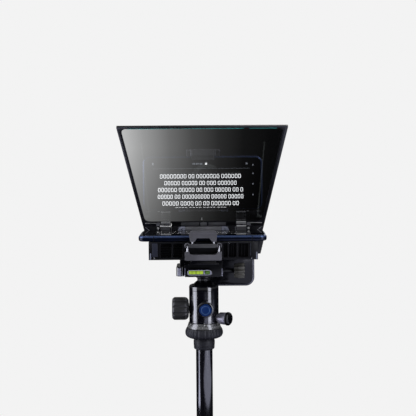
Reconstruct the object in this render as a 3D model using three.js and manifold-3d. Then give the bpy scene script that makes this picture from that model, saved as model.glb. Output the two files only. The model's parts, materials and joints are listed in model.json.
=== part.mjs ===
// A phone teleprompter on a ball head. A phone lies face up on a deck and shows the script, a glass
// leaning at 45 degrees mirrors it to the speaker, and a second phone films through the glass from
// inside a folding fabric hood. Millimetres, +Z up, the speaker stands towards -Y.
// The origin is the middle of the column's lower end.
import * as THREE from 'three';
import { mergeVertices } from 'three/addons/utils/BufferGeometryUtils.js';
import { ConvexGeometry } from 'three/addons/geometries/ConvexGeometry.js';
import Module from 'manifold-3d';

// ---- driving dimensions ----
const GAP = 0.3; // between pieces that touch
const PHONE_TOP = 275; // height of the display phone's screen
const BALL_CENTRE = 195.5; // height of the ball's centre

const BALL_R = 17;
const HEAD_R = 19.3;
const COLUMN_R = 10.9;
const COLUMN_BORE_R = 9.4;
const PAN_KNOB_TURN = -Math.PI / 6; // the pan lock points a little towards the speaker

const DISPLAY = { left: -81.5, right: 80, front: -55, back: 17, thickness: 7.8, cornerR: 9 };
const CAMERA_PHONE = { left: -8.5, right: 69.5, front: 60, back: 68.5, low: -81.3, high: 81.7, cornerR: 11 };
const LENS = { x: 4.5, z: 67, sleeveR: 24, openingR: 20.5 };

// The glass frame's own axes have their origin on the hinge, +Z up the slope and +Y to the back.
const LEAN = Math.PI / 4;
const HINGE_Y = 35.4;
const HINGE_Z = 6.7;
const FRAME = { low: -12.5, glassLow: 6, glassHigh: 179.2, high: 182.4, front: -1.2, back: 3.2 };
const FRAME_HALF_WIDTH = 81.7; // at the hinge
const FRAME_FLARE = 0.1193; // how much half the width grows up the slope
const SIDE_BAR = { low: 4.4, high: 4.8 };
const PANEL_AXIS = { y: 6.4, z: 2 }; // the hood panel's own hinge, in the glass frame's axes
const PIN_R = 1.3;

const DECK_TOP = -8.1;
const HOUSING_BOTTOM = -31;
const HOUSING_FRONT = -54;
const WALL_FRONT = 19.6;
const SCREW_Z = -51.9; // the quick-release clamp's screw
const CLIP_Y = -61; // the phone clip's rods and fold axis
const CLIP_Z = -12.4;

// ---- solids ----
const wasm = await Module();
wasm.setup();

function toSolid(geometry) {
  const flat = geometry.index ? geometry.toNonIndexed() : geometry;
  const bare = new THREE.BufferGeometry().setAttribute('position', flat.getAttribute('position'));
  const merged = mergeVertices(bare, 1e-4);
  const vertProperties = merged.getAttribute('position').array;
  const triVerts = new Uint32Array(merged.index.array);
  return new wasm.Manifold(new wasm.Mesh({ numProp: 3, vertProperties, triVerts }));
}

function toGeometry(solid) {
  const { vertProperties, triVerts } = solid.getMesh();
  const geometry = new THREE.BufferGeometry();
  geometry.setAttribute('position', new THREE.BufferAttribute(vertProperties, 3));
  return geometry.setIndex(new THREE.BufferAttribute(triVerts, 1));
}

function join(...geometries) {
  return toGeometry(geometries.map(toSolid).reduce((whole, piece) => whole.add(piece)));
}

function cut(geometry, ...tools) {
  return toGeometry(tools.map(toSolid).reduce((rest, tool) => rest.subtract(tool), toSolid(geometry)));
}

function block(x0, x1, y0, y1, z0, z1) {
  const box = new THREE.BoxGeometry(x1 - x0, y1 - y0, z1 - z0);
  return box.translate((x0 + x1) / 2, (y0 + y1) / 2, (z0 + z1) / 2);
}

// Each of these turns a solid that stands along Z so that it lies along X, or along -Y.
const ALONG_X = new THREE.Matrix4().set(0, 0, 1, 0, 1, 0, 0, 0, 0, 1, 0, 0, 0, 0, 0, 1);
const TOWARDS_SPEAKER = new THREE.Matrix4().makeRotationX(Math.PI / 2);

function rodZ(x, y, r, z0, z1, sides = 24) {
  const rod = new THREE.CylinderGeometry(r, r, z1 - z0, sides).rotateX(Math.PI / 2);
  return rod.translate(x, y, (z0 + z1) / 2);
}

function rodX(y, z, r, x0, x1, sides = 24) {
  return rodZ(y, z, r, x0, x1, sides).applyMatrix4(ALONG_X);
}

function rodY(x, z, r, y0, y1, sides = 24) {
  return rodZ(x, z, r, -y1, -y0, sides).applyMatrix4(TOWARDS_SPEAKER);
}

// A turned solid about Z. The profile lists [radius, height] upwards on the outside.
function turned(profile, sides = 32) {
  const points = profile.map(([r, z]) => new THREE.Vector2(r, z));
  return new THREE.LatheGeometry(points, sides).rotateX(Math.PI / 2);
}

function turnedRing(profile, sides = 32) {
  return turned([...profile, profile[0]], sides);
}

function outline(points, cornerR = 0) {
  const shape = new THREE.Shape();
  points.forEach(([x, y], i) => {
    const corner = new THREE.Vector2(x, y);
    if (!cornerR) {
      if (i) shape.lineTo(x, y);
      else shape.moveTo(x, y);
      return;
    }
    const before = new THREE.Vector2(...points[(i + points.length - 1) % points.length]);
    const after = new THREE.Vector2(...points[(i + 1) % points.length]);
    const start = before.sub(corner).setLength(cornerR).add(corner);
    const end = after.sub(corner).setLength(cornerR).add(corner);
    if (i) shape.lineTo(start.x, start.y);
    else shape.moveTo(start.x, start.y);
    shape.quadraticCurveTo(x, y, end.x, end.y);
  });
  shape.closePath();
  return shape;
}

function prismZ(points, z0, z1, cornerR = 0) {
  const options = { depth: z1 - z0, bevelEnabled: false, curveSegments: 4 };
  return new THREE.ExtrudeGeometry(outline(points, cornerR), options).translate(0, 0, z0);
}

// The points are [y, z].
function prismX(points, x0, x1, cornerR = 0) {
  return prismZ(points, x0, x1, cornerR).applyMatrix4(ALONG_X);
}

// The points are [x, z].
function prismY(points, y0, y1, cornerR = 0) {
  return prismZ(points, -y1, -y0, cornerR).applyMatrix4(TOWARDS_SPEAKER);
}

function rectangle(x0, x1, z0, z1) {
  return [[x0, z0], [x1, z0], [x1, z1], [x0, z1]];
}

// ---- materials ----
function finish(color, roughness, metalness, opacity = 1) {
  return new THREE.MeshStandardMaterial({ color, roughness, metalness, opacity, transparent: opacity < 1 });
}

const BLACK_PLASTIC = () => finish(0x17181b, 0.45, 0);
const BLACK_METAL = () => finish(0x0c0c10, 0.2, 0.6);
const GREY_PLASTIC = () => finish(0x5a5a5c, 0.5, 0);
const CHROME = () => finish(0xd8d8dc, 0.12, 1);
const STEEL = () => finish(0x8f9094, 0.35, 0.9);
const BLUE = () => finish(0x1c4488, 0.4, 0.2);
const RUBBER = () => finish(0x2a2b2e, 0.85, 0);
const FABRIC = () => finish(0x111114, 0.95, 0);
const GLASS = () => finish(0x3c4a48, 0.03, 0, 0.4);
const SCREEN = () => finish(0x050608, 0.05, 0);

// ---- assembly ----
const group = new THREE.Group();
const head = new THREE.Group();
const prompter = new THREE.Group();
const glass = new THREE.Group();
head.position.z = BALL_CENTRE;
prompter.position.z = PHONE_TOP;
glass.position.set(0, HINGE_Y, HINGE_Z);
glass.rotation.x = LEAN;
group.add(head, prompter);
prompter.add(glass);

function add(parent, name, geometry, material) {
  const mesh = new THREE.Mesh(geometry, material);
  mesh.name = name;
  parent.add(mesh);
}

function onBothSides(make) {
  make(-1, 'left');
  make(1, 'right');
}

// Puts a solid that was made on the right on the given side.
function onSide(side, geometry) {
  if (side > 0) return geometry;
  return toGeometry(toSolid(geometry).mirror([1, 0, 0]));
}

// ---- column, from its lower end to the pan base ----
const TUBE = { low: 10.3, high: 119.7 };

function addColumn() {
  const endCap = turned([[0, 0], [11, 0], [12.5, 1.5], [12.5, 10], [9.1, 10], [9.1, 22], [0, 22]], 28);
  add(group, 'column_end_cap', endCap, RUBBER());
  const tube = [[COLUMN_BORE_R, TUBE.low], [COLUMN_R, TUBE.low], [COLUMN_R, TUBE.high], [COLUMN_BORE_R, TUBE.high]];
  add(group, 'column_tube', turnedRing(tube), BLACK_METAL());
  const collar = [
    [0, 108], [9.1, 108], [9.1, 120], [12.6, 120], [13.8, 121.5], [14, 131], [12.6, 134.3], [0, 134.3],
  ];
  add(group, 'column_collar', turned(collar), BLACK_METAL());
  const flange = [
    [0, 134.7], [14.5, 134.7], [17.5, 135], [22.5, 136.6], [24.8, 140], [24.8, 143.5], [23, 148],
    [14.2, 148], [14.2, 161.5], [0, 161.5],
  ];
  add(group, 'base_flange', turned(flange), RUBBER());
  const scale = [[14.5, 148.3], [22.3, 148.3], [19.9, 155.5], [14.5, 155.5]];
  add(group, 'scale_ring', turnedRing(scale), BLACK_METAL());
}

// ---- ball head, about the ball's centre ----
const HOUSING_LOW = -39.7;
const MAIN_KNOB_Z = -22.1;
const FRICTION_KNOB = { x: 2.1, z: -20 };
const PAN_KNOB_Z = -33.1;

function addHead() {
  const socketR = BALL_R + 0.4;
  const shell = [
    [14.6, HOUSING_LOW], [HEAD_R, HOUSING_LOW], [HEAD_R, 2.7], [socketR, 2.7], [socketR, 0],
    [16.6, -5.2], [14.6, -9.5],
  ];
  const mainHole = rodX(0, MAIN_KNOB_Z, 4, -22, -12, 16);
  const frictionHole = rodY(FRICTION_KNOB.x, FRICTION_KNOB.z, 3, -22, -12, 16);
  const panHole = rodX(0, PAN_KNOB_Z, 3.1, 12, 22, 16).rotateZ(PAN_KNOB_TURN);
  add(head, 'head_housing', cut(turnedRing(shell, 40), mainHole, frictionHole, panHole), BLACK_METAL());

  const collar = [[17.2, 3], [HEAD_R, 3], [HEAD_R, 7.6], [18.3, 9.2], [15.2, 9.4]];
  add(head, 'head_collar', turnedRing(collar, 40), BLACK_PLASTIC());
  const seat = [
    [0, -26], [14.2, -26], [14.2, -10.4], [13.9, -10.5], [12, -12.6], [9, -14.9], [5, -16.7], [0, -17.4],
  ];
  add(head, 'ball_seat', turned(seat, 24), GREY_PLASTIC());
  add(head, 'ball', new THREE.SphereGeometry(BALL_R, 28, 14), STEEL());

  const stem = turned([[0, 12], [8.4, 12], [8.4, 18], [10.4, 19.7], [10.4, 22.2], [0, 22.2]], 24);
  const clearance = new THREE.SphereGeometry(BALL_R + 0.4, 28, 14);
  add(head, 'ball_stem', cut(stem, clearance), STEEL());
}

function addHeadKnobs() {
  const mainKnob = [
    [0, -14.7], [3.5, -14.7], [3.5, -20], [11.2, -20.2], [13.8, -22], [15, -25.2], [15, -38.6], [12.6, -41.6],
    [0, -41.6],
  ].reverse();
  const mainSolid = turned(mainKnob, 32).applyMatrix4(ALONG_X).translate(0, 0, MAIN_KNOB_Z);
  add(head, 'main_knob', mainSolid, BLACK_PLASTIC());

  const ring = [
    [0, 14.7], [2.5, 14.7], [2.5, 19.7], [9.3, 19.7], [10.2, 20.6], [10.2, 26.8], [9.4, 27.8], [8.1, 27.8],
    [8.1, 26.6], [0, 26.6],
  ];
  const cap = [[0, 26.9], [7.8, 26.9], [7.8, 28], [7.2, 28.6], [0, 28.6]];
  const place = (solid) => solid.applyMatrix4(TOWARDS_SPEAKER).translate(FRICTION_KNOB.x, 0, FRICTION_KNOB.z);
  add(head, 'friction_knob', place(turned(ring, 28)), BLACK_PLASTIC());
  add(head, 'friction_knob_cap', place(turned(cap, 28)), BLUE());

  const panKnob = [
    [0, 14.8], [2.6, 14.8], [2.6, 19.8], [4.8, 20.2], [5.4, 22.5], [7.6, 24.2], [8, 32.5], [9, 33.6], [9, 36.6],
    [7, 39.2], [0, 39.9],
  ];
  const panSolid = turned(panKnob, 24).applyMatrix4(ALONG_X).rotateZ(PAN_KNOB_TURN).translate(0, 0, PAN_KNOB_Z);
  add(head, 'pan_knob', panSolid, BLACK_METAL());
}

// ---- quick-release clamp and plate, below the display phone's screen ----
const CLAMP = { half: 24.4, low: -56.8, floor: -40.4, jawTop: -36.1, halfDepth: 25 };
const DOVETAIL = { wide: 19, narrow: 16 };

function addClamp() {
  const { half, low, floor, jawTop, halfDepth } = CLAMP;
  const wide = DOVETAIL.wide + 0.35;
  const narrow = DOVETAIL.narrow + 0.35;
  const body = [
    [-half, low], [half, low], [half, jawTop], [narrow, jawTop], [wide, jawTop - 3], [wide, floor], [-half, floor],
  ];
  const screwHole = rodX(0, SCREW_Z, 3.4, -half - 1, half + 1, 16);
  add(prompter, 'clamp_base', cut(prismY(body, -halfDepth, halfDepth), screwHole), BLACK_METAL());

  const jawHook = [
    [-30.7, -50], [-24.8, -50], [-24.8, floor + GAP], [-wide, floor + GAP], [-wide, jawTop - 3],
    [-narrow, jawTop], [-30.7, jawTop],
  ];
  const jawBlock = prismZ(rectangle(-35.3, -24.8, -22, 22), -56.4, -44.4, 4.2);
  const jawHole = rodX(0, SCREW_Z, 3.4, -36, -24, 16);
  add(prompter, 'clamp_jaw', cut(join(prismY(jawHook, -17, 17), jawBlock), jawHole), BLACK_METAL());

  add(prompter, 'clamp_screw', rodX(0, SCREW_Z, 3, -34.5, 39.6, 16), STEEL());
  const flutes = 12;
  const knob = Array.from({ length: 2 * flutes }, (_, i) => {
    const angle = (i * Math.PI) / flutes;
    const r = i % 2 ? 9.2 : 10.3;
    return [r * Math.cos(angle), SCREW_Z + r * Math.sin(angle)];
  });
  add(prompter, 'clamp_knob', prismX(knob, 39.9, 53.6), BLACK_METAL());

  const front = -halfDepth - GAP;
  const levelBody = prismY(rectangle(-22.3, 11.4, -56.4, -46), front - 3.3, front, 4.5);
  const window = block(-19.8, 9.2, front - 4, front - 1.2, -54.6, -47.8);
  add(prompter, 'level_housing', cut(levelBody, window), CHROME());
  add(prompter, 'level_vial', rodX(front - 3, -51.2, 1.6, -19.4, 8.8, 12), finish(0xb8e02a, 0.15, 0, 0.8));

  const plate = [
    [-DOVETAIL.wide, floor + GAP], [DOVETAIL.wide, floor + GAP], [DOVETAIL.wide, -39.2], [DOVETAIL.narrow, -36.2],
    [DOVETAIL.narrow, -34.8], [21, -34.8], [21, HOUSING_BOTTOM - GAP], [-21, HOUSING_BOTTOM - GAP],
    [-21, -34.8], [-DOVETAIL.narrow, -34.8], [-DOVETAIL.narrow, -36.2], [-DOVETAIL.wide, -39.2],
  ];
  add(prompter, 'qr_plate', prismY(plate, -30, 30), BLACK_METAL());
}

// ---- the housing under the display phone ----
const BRACKET_SLOT = { left: -42, right: -14, z: -20 };

function addHousing() {
  const shell = block(-66, 66, HOUSING_FRONT + 8.3, 31, HOUSING_BOTTOM, -10.6);
  const inside = block(-63.5, 63.5, -43, 28.5, -28.5, 0);
  const tongueSlot = block(-12.6, 12.6, -60, -42, -28.4, -25);
  const { left, right, z } = BRACKET_SLOT;
  const slot = block(left, right, 20, 40, z - 3.4, z + 3.4);
  add(prompter, 'base_housing', cut(shell, inside, tongueSlot, slot), BLACK_PLASTIC());

  const panel = block(-68.5, 68.5, HOUSING_FRONT, HOUSING_FRONT + 8, HOUSING_BOTTOM, -8.2);
  const pockets = [[-54, -40], [-38, -26], [25, 30], [32, 41], [43.5, 56]].map(([x0, x1]) =>
    block(x0, x1, HOUSING_FRONT - 1, HOUSING_FRONT + 6, -28, -10.5));
  add(prompter, 'front_panel', cut(panel, tongueSlot, ...pockets), BLACK_PLASTIC());
  add(prompter, 'phone_deck', block(-66, 66, HOUSING_FRONT + 8.3, 19.2, -10.3, DECK_TOP), BLACK_PLASTIC());

  const wall = block(-61.5, 61.5, WALL_FRONT, 31, -10.3, 3.3);
  const seams = [-42.4, -31.5, -5, 5.7, 32, 42.4].map((x) =>
    block(x - 0.5, x + 0.5, WALL_FRONT - 1, WALL_FRONT + 1, -8, 5));
  const ribs = [[-61.5, -57.6], [-43.4, 43.4], [57.6, 61.5]].map(([x0, x1]) => block(x0, x1, 26, 31, 3, 4.9));
  add(prompter, 'rear_wall', cut(join(wall, ...ribs), ...seams), BLACK_PLASTIC());
  add(prompter, 'rear_stop', block(-23.7, 23.7, 17.4, 19.3, -7.9, 4.7), GREY_PLASTIC());
  onBothSides((side, name) => {
    const pad = prismY(rectangle(24, 33.5, -7.9, 4.7), 17.4, 19.3, 2);
    add(prompter, `stop_pad_${name}`, onSide(side, pad), RUBBER());
    const gusset = [[WALL_FRONT, -8], [30.5, -8], [30.5, 4.6], [26, 4.6], [24.5, 4], [WALL_FRONT, 4]];
    add(prompter, `side_bracket_${name}`, onSide(side, prismX(gusset, 62, 79)), BLACK_PLASTIC());
  });
}

// ---- the glass hinges: a fixed leaf with two knuckles and a pin on each side ----
const KNUCKLE = { r: 2.5, left: 44, split: 3.5, right: 57 };

function knuckle(x0, x1) {
  return rodX(HINGE_Y, HINGE_Z, KNUCKLE.r, x0, x1, 16);
}

function addHinges() {
  const { left, split, right } = KNUCKLE;
  const leafPlate = block(left, right, 20, HINGE_Y, 3.6, 4.9);
  const middle = block(left + split, right - split, 31.5, 40, 0, 10);
  const pinHole = rodX(HINGE_Y, HINGE_Z, PIN_R + GAP, 40, 60, 16);
  const leaf = join(leafPlate, knuckle(left, left + split), knuckle(right - split, right));
  const pin = join(
    rodX(HINGE_Y, HINGE_Z, PIN_R, left - 0.6, right + 0.6, 12),
    rodX(HINGE_Y, HINGE_Z, 2.1, right + 0.4, right + 1.6, 12),
  );
  onBothSides((side, name) => {
    add(prompter, `hinge_leaf_${name}`, onSide(side, cut(leaf, middle, pinHole)), STEEL());
    add(prompter, `hinge_pin_${name}`, onSide(side, pin), CHROME());
  });
}

// ---- the spring clip that holds the display phone's near edge ----
const ROD_X = 19.8;

function addClip() {
  const socketShape = [
    [-23, -30.8], [23, -30.8], [23, -19.8], [16.8, -19.8], [14.8, -21.8], [12.6, -23.3], [-12.6, -23.3],
    [-14.8, -21.8], [-16.8, -19.8], [-23, -19.8],
  ];
  const rodHoles = [-ROD_X, ROD_X].map((x) => rodZ(x, CLIP_Y, 1.6, -29.2, -10, 12));
  const socket = cut(prismY(socketShape, -64.5, HOUSING_FRONT - GAP), ...rodHoles);
  add(prompter, 'clip_socket', socket, GREY_PLASTIC());
  add(prompter, 'clip_tongue', block(-12, 12, HOUSING_FRONT, -14, -28.1, -25.6), STEEL());

  const eye = rodX(CLIP_Y, CLIP_Z, 3.2, ROD_X - 1.5, ROD_X + 1.5, 16);
  const eyeHole = rodX(CLIP_Y, CLIP_Z, 1.6, 15, 24, 12);
  const rod = cut(join(rodZ(ROD_X, CLIP_Y, 1.25, -29, CLIP_Z, 12), eye), eyeHole);
  const bar = block(-16.2, 16.2, -64, -58.6, -14.9, -10.2);
  const arm = join(bar, rodX(CLIP_Y, CLIP_Z, 1.25, -21.6, 21.6, 12));
  const pinX = 13.4;
  const pinHoles = [-pinX, pinX].map((x) => rodZ(x, -62, 1.3, -12.9, -5.1, 12));
  add(prompter, 'clip_arm', cut(arm, ...pinHoles), BLACK_PLASTIC());

  const jawShape = [
    [-16, -8.6], [-9.8, -8.6], [-7.5, -3], [7.5, -3], [9.8, -8.6], [16, -8.6], [17.3, 2], [15.4, 6.2], [-15.4, 6.2],
    [-17.3, 2],
  ];
  const lip = block(-15.2, 15.2, -57, -50, 0.5, 3.6);
  const jaw = join(prismY(jawShape, -64.5, -55.5), lip);
  add(prompter, 'clip_jaw', cut(jaw, ...pinHoles), GREY_PLASTIC());
  onBothSides((side, name) => {
    add(prompter, `clip_rod_${name}`, onSide(side, rod), CHROME());
    const pin = rodZ(side * pinX, -62, 1, -12.6, -5.4, 12);
    add(prompter, `clip_pin_${name}`, pin, CHROME());
  });
}

// ---- the phone that shows the script ----
function addDisplayPhone() {
  const { left, right, front, back, thickness, cornerR } = DISPLAY;
  const edge = rectangle(left, right, front, back);
  add(prompter, 'display_phone_body', prismZ(edge, -thickness, -0.7, cornerR), BLUE());
  const inner = rectangle(left + 1.8, right - 1.8, front + 1.6, back - 1.6);
  add(prompter, 'display_phone_screen', prismZ(inner, -0.4, 0, cornerR - 1.5), SCREEN());
  const keys = { power: [42, 50], volume: [54, 68] };
  Object.entries(keys).forEach(([key, [x0, x1]]) => {
    const button = block(x0, x1, back + GAP, back + 0.9, -5.2, -2.8);
    add(prompter, `display_phone_${key}_key`, button, BLUE());
  });
}

// ---- the glass frame, about its hinge and along its slope ----
function halfWidthAt(z) {
  return FRAME_HALF_WIDTH + FRAME_FLARE * z;
}

// A four-sided outline that keeps a distance in from the frame's sloping sides.
function frameOutline(low, high, insetLow, insetHigh) {
  const a = halfWidthAt(low) - insetLow;
  const b = halfWidthAt(high) - insetHigh;
  return [[-a, low], [a, low], [b, high], [-b, high]];
}

function addGlass() {
  const { low, glassLow, glassHigh, high, front, back } = FRAME;
  const cover = 2; // how far the frame laps over the glass, but at the top
  const topCover = 0.8;
  const whole = prismY(frameOutline(low, high, 0, 0), front, back, 2);
  const [lip, tail] = [front + 0.8, back + 1.8];
  const topChamfer = prismX([[lip, high], [tail, high - 3], [tail, high + 3], [lip, high + 3]], -120, 120);
  const opening = frameOutline(glassLow, glassHigh, SIDE_BAR.low, SIDE_BAR.high);
  const rebate = frameOutline(glassLow - cover, glassHigh + topCover, SIDE_BAR.low - cover, SIDE_BAR.high - cover);
  const legGap = prismY(frameOutline(low - 5, -2.5, SIDE_BAR.low, SIDE_BAR.low), front - 1, back + 1);
  const hingeGap = block(KNUCKLE.left - 1.2, KNUCKLE.right + 2.2, front - 1, back + 1, -4, 3.1);
  const hingeGaps = [-1, 1].map((side) => onSide(side, hingeGap));
  const holes = [prismY(opening, front - 1, back + 1, 8), prismY(rebate, 0, back + 1, 8)];
  const bars = cut(whole, topChamfer, ...holes, legGap, ...hingeGaps);

  const knuckles = [-1, 1].flatMap((side) => {
    const x0 = side * (KNUCKLE.left + KNUCKLE.split + GAP);
    const x1 = side * (KNUCKLE.right - KNUCKLE.split - GAP);
    const [from, to] = [Math.min(x0, x1), Math.max(x0, x1)];
    return [rodX(0, 0, KNUCKLE.r, from, to, 16), block(from, to, front, 2, 0, 3.3)];
  });
  const lugs = [-76, 73].map((x) => block(x, x + 3, back - 0.5, 8.8, PANEL_AXIS.z - 2.6, PANEL_AXIS.z + 2.6));
  const pinHoles = [-1, 1].map((side) => rodX(0, 0, PIN_R + GAP, side > 0 ? 43 : -58, side > 0 ? 58 : -43, 16));
  const trunnionHole = rodX(PANEL_AXIS.y, PANEL_AXIS.z, 1.5, -77, 77, 16);
  const frame = cut(join(bars, ...knuckles, ...lugs), ...pinHoles, trunnionHole);
  add(glass, 'glass_frame', frame, BLACK_PLASTIC());

  const paneInset = [SIDE_BAR.low - cover + GAP, SIDE_BAR.high - cover + GAP];
  const pane = frameOutline(glassLow - cover + GAP, glassHigh + topCover - GAP, ...paneInset);
  add(glass, 'beam_splitter', prismY(pane, 0.3, 1.8, 9), GLASS());
  const retainer = cut(prismY(pane, 2.1, back, 9), prismY(opening, 0, back + 1, 8));
  add(glass, 'glass_retainer', retainer, BLACK_PLASTIC());
}

// ---- the hood: a rear panel on its own hinge, a lens sleeve and the fabric between ----
const PANEL = { halfLow: 71.5, halfHigh: 82, high: 118, thick: 2.2 };

// From the glass frame's axes to [y, z] above the display phone's screen.
function fromGlass(y, z) {
  return [HINGE_Y + (y - z) * Math.SQRT1_2, HINGE_Z + (y + z) * Math.SQRT1_2];
}

function addHood() {
  const [axisY, axisZ] = fromGlass(PANEL_AXIS.y, PANEL_AXIS.z);
  const panelFront = axisY - PANEL.thick / 2;
  const { halfLow, halfHigh, high } = PANEL;
  const sheet = [[-halfLow, axisZ], [halfLow, axisZ], [halfHigh, high], [-halfHigh, high]];
  const barrel = join(
    rodX(axisY, axisZ, 2, -72.6, 72.6, 12),
    rodX(axisY, axisZ, 1.2, -75.8, 75.8, 12),
  );
  const board = prismY(sheet, panelFront, panelFront + PANEL.thick);
  const opening = rodY(LENS.x, LENS.z, 22, 30, 50, 32);
  add(prompter, 'rear_panel', cut(join(board, barrel), opening), BLACK_PLASTIC());

  const sleeveBack = CAMERA_PHONE.front - 2.5;
  const sleeve = cut(
    rodY(LENS.x, LENS.z, LENS.sleeveR, panelFront + PANEL.thick + GAP, sleeveBack, 32),
    rodY(LENS.x, LENS.z, LENS.openingR, 30, 60, 32),
  );
  add(prompter, 'lens_sleeve', sleeve, RUBBER());

  // The hood's section, from the frame's foot to its top, then back to the panel's top and foot.
  const lowFront = fromGlass(FRAME.back + GAP, 12);
  const topFront = fromGlass(FRAME.back + GAP, 179);
  const topBack = [panelFront - GAP, high - 1];
  const lowBack = [panelFront - GAP, lowFront[1] + 1];
  const halves = [halfWidthAt(12) - 1.5, halfWidthAt(179) - 1.5, halfHigh + 1];
  // Each side of the hood is the plane through three of its corners: x = a + b y + c z.
  const [p, q, r] = [lowFront, topFront, topBack];
  const det = (q[0] - p[0]) * (r[1] - p[1]) - (r[0] - p[0]) * (q[1] - p[1]);
  const b = ((halves[1] - halves[0]) * (r[1] - p[1]) - (halves[2] - halves[0]) * (q[1] - p[1])) / det;
  const c = ((q[0] - p[0]) * (halves[2] - halves[0]) - (r[0] - p[0]) * (halves[1] - halves[0])) / det;
  const halfAt = ([y, z]) => halves[0] + b * (y - p[0]) + c * (z - p[1]);
  const cloth = 1.2;
  const wedge = (section, inset) => {
    const corners = section.flatMap((point) => [-1, 1].map((side) =>
      new THREE.Vector3(side * (halfAt(point) - inset), ...point)));
    return new ConvexGeometry(corners);
  };
  const roof = new THREE.Vector2(topBack[0] - topFront[0], topBack[1] - topFront[1]).normalize();
  const under = ([y, z], along) => [y + roof.x * along + roof.y * cloth, z + roof.y * along - roof.x * cloth];
  const outer = wedge([lowFront, topFront, topBack, lowBack], 0);
  const inner = wedge([
    [lowFront[0] - 8, lowFront[1] - 8], under(topFront, -10), under(topBack, 10), [lowBack[0] + 10, lowBack[1] - 10],
  ], cloth);
  add(prompter, 'hood', cut(outer, inner), FABRIC());
}

// ---- the rear bracket and the phone that films ----
const BAR = { front: 70, back: 74.5 };

function addRearBracket() {
  const { left, right, z } = BRACKET_SLOT;
  const plate = block(left - 2, right - 2, 31.4, 34.4, -29, -11);
  const arm = block(left - 2, left + 2.5, 34, BAR.back, -29, -14);
  const crossBar = block(left - 2, 64, BAR.front, BAR.back, -30, -12);
  const screwHole = rodY(-28, z, 3.2, 30, 36, 16);
  add(prompter, 'rear_bracket', cut(join(plate, arm, crossBar), screwHole), BLACK_PLASTIC());
  const knobSolid = join(rodY(-28, z, 2.8, 27, 36, 16), rodY(-28, z, 8, 34.7, 45, 20));
  add(prompter, 'bracket_knob', knobSolid, BLACK_PLASTIC());

  const lipFront = CAMERA_PHONE.front - 3;
  const lipBack = CAMERA_PHONE.front - GAP;
  const fixedFace = CAMERA_PHONE.left - GAP;
  const fixedJaw = join(
    block(fixedFace - 7, fixedFace, lipFront, BAR.front - GAP, -34, -8),
    block(fixedFace - 1, fixedFace + 3.5, lipFront, lipBack, -34, -8),
  );
  add(prompter, 'rear_fixed_jaw', fixedJaw, RUBBER());

  const face = CAMERA_PHONE.right + GAP;
  const jawShape = [[face, -36.5], [face + 8, -36.5], [face + 12, -20], [face + 12, -6], [face, -6]];
  const jaw = join(
    prismY(jawShape, lipFront, 77.6),
    block(face - 3.5, face + 1, lipFront, lipBack, -36.5, -6),
    block(30, face + 2, BAR.back + GAP, 77.6, -26, -16),
  );
  add(prompter, 'rear_jaw', jaw, BLACK_PLASTIC());
}

function addCameraPhone() {
  const { left, right, front, back, low, high, cornerR } = CAMERA_PHONE;
  add(prompter, 'camera_phone_body', prismY(rectangle(left, right, low, high), front, back, cornerR), BLACK_METAL());
  const screen = rectangle(left + 2, right - 2, low + 2, high - 2);
  add(prompter, 'camera_phone_screen', prismY(screen, back + GAP, back + 0.9, cornerR - 2), SCREEN());
  const island = rectangle(left + 2.5, left + 31, high - 32, high - 3.5);
  add(prompter, 'camera_phone_camera', prismY(island, front - 1.4, front - GAP, 6), BLACK_METAL());
  add(prompter, 'camera_phone_power_key', block(right + GAP, right + 0.9, 62.6, 65.9, 14, 26), BLACK_METAL());
}

addColumn();
addHead();
addHeadKnobs();
addClamp();
addHousing();
addHinges();
addClip();
addDisplayPhone();
addGlass();
addHood();
addRearBracket();
addCameraPhone();

export default group;
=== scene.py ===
# The looks of a phone teleprompter on a ball head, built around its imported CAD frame.
import json
import math

import bpy
import bmesh
from mathutils import Matrix, Vector


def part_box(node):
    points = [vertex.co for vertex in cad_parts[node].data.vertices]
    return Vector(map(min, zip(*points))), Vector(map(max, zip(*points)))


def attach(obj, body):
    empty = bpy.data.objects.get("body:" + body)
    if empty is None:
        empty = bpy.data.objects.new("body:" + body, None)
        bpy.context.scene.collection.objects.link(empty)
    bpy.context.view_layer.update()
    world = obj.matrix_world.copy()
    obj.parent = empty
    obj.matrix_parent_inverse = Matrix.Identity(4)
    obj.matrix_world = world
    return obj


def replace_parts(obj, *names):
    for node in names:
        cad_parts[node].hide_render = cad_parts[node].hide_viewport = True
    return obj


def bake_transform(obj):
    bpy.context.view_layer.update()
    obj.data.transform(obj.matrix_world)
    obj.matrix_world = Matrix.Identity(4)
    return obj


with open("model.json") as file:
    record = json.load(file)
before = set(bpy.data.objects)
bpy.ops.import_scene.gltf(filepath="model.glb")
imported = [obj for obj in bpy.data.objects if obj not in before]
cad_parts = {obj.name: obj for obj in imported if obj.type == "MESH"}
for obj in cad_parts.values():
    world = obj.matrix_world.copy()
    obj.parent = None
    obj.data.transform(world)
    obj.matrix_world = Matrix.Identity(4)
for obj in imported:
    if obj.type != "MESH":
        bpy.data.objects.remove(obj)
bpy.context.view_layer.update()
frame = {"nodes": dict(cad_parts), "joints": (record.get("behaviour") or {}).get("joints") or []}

MM = 0.001
TURN = 2 * math.pi

# ---------------------------------------------------------------- places
def centre(node):
    low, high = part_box(node)
    return (Vector(low) + Vector(high)) / 2


def joint_place(name):
    return Vector(next(j for j in frame["joints"] if j["name"] == name)["pos_m"])


PHONE_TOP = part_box("display_phone_screen")[1][2]
BALL = centre("ball")
HINGE = joint_place("glass_fold")
LEAN = math.pi / 4


def at(x, y, z):
    """A point in millimetres from the middle of the column, above the display phone's screen."""
    return Vector((x * MM, y * MM, PHONE_TOP + z * MM))


def axis(origin, direction):
    """The space of a turned piece: its own Z runs along direction."""
    turn = Vector(direction).to_track_quat("Z", "Y").to_matrix().to_4x4()
    return Matrix.Translation(origin) @ turn @ Matrix.Scale(MM, 4)


def upright(origin=(0, 0, 0)):
    return Matrix.Translation(origin) @ Matrix.Scale(MM, 4)


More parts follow.
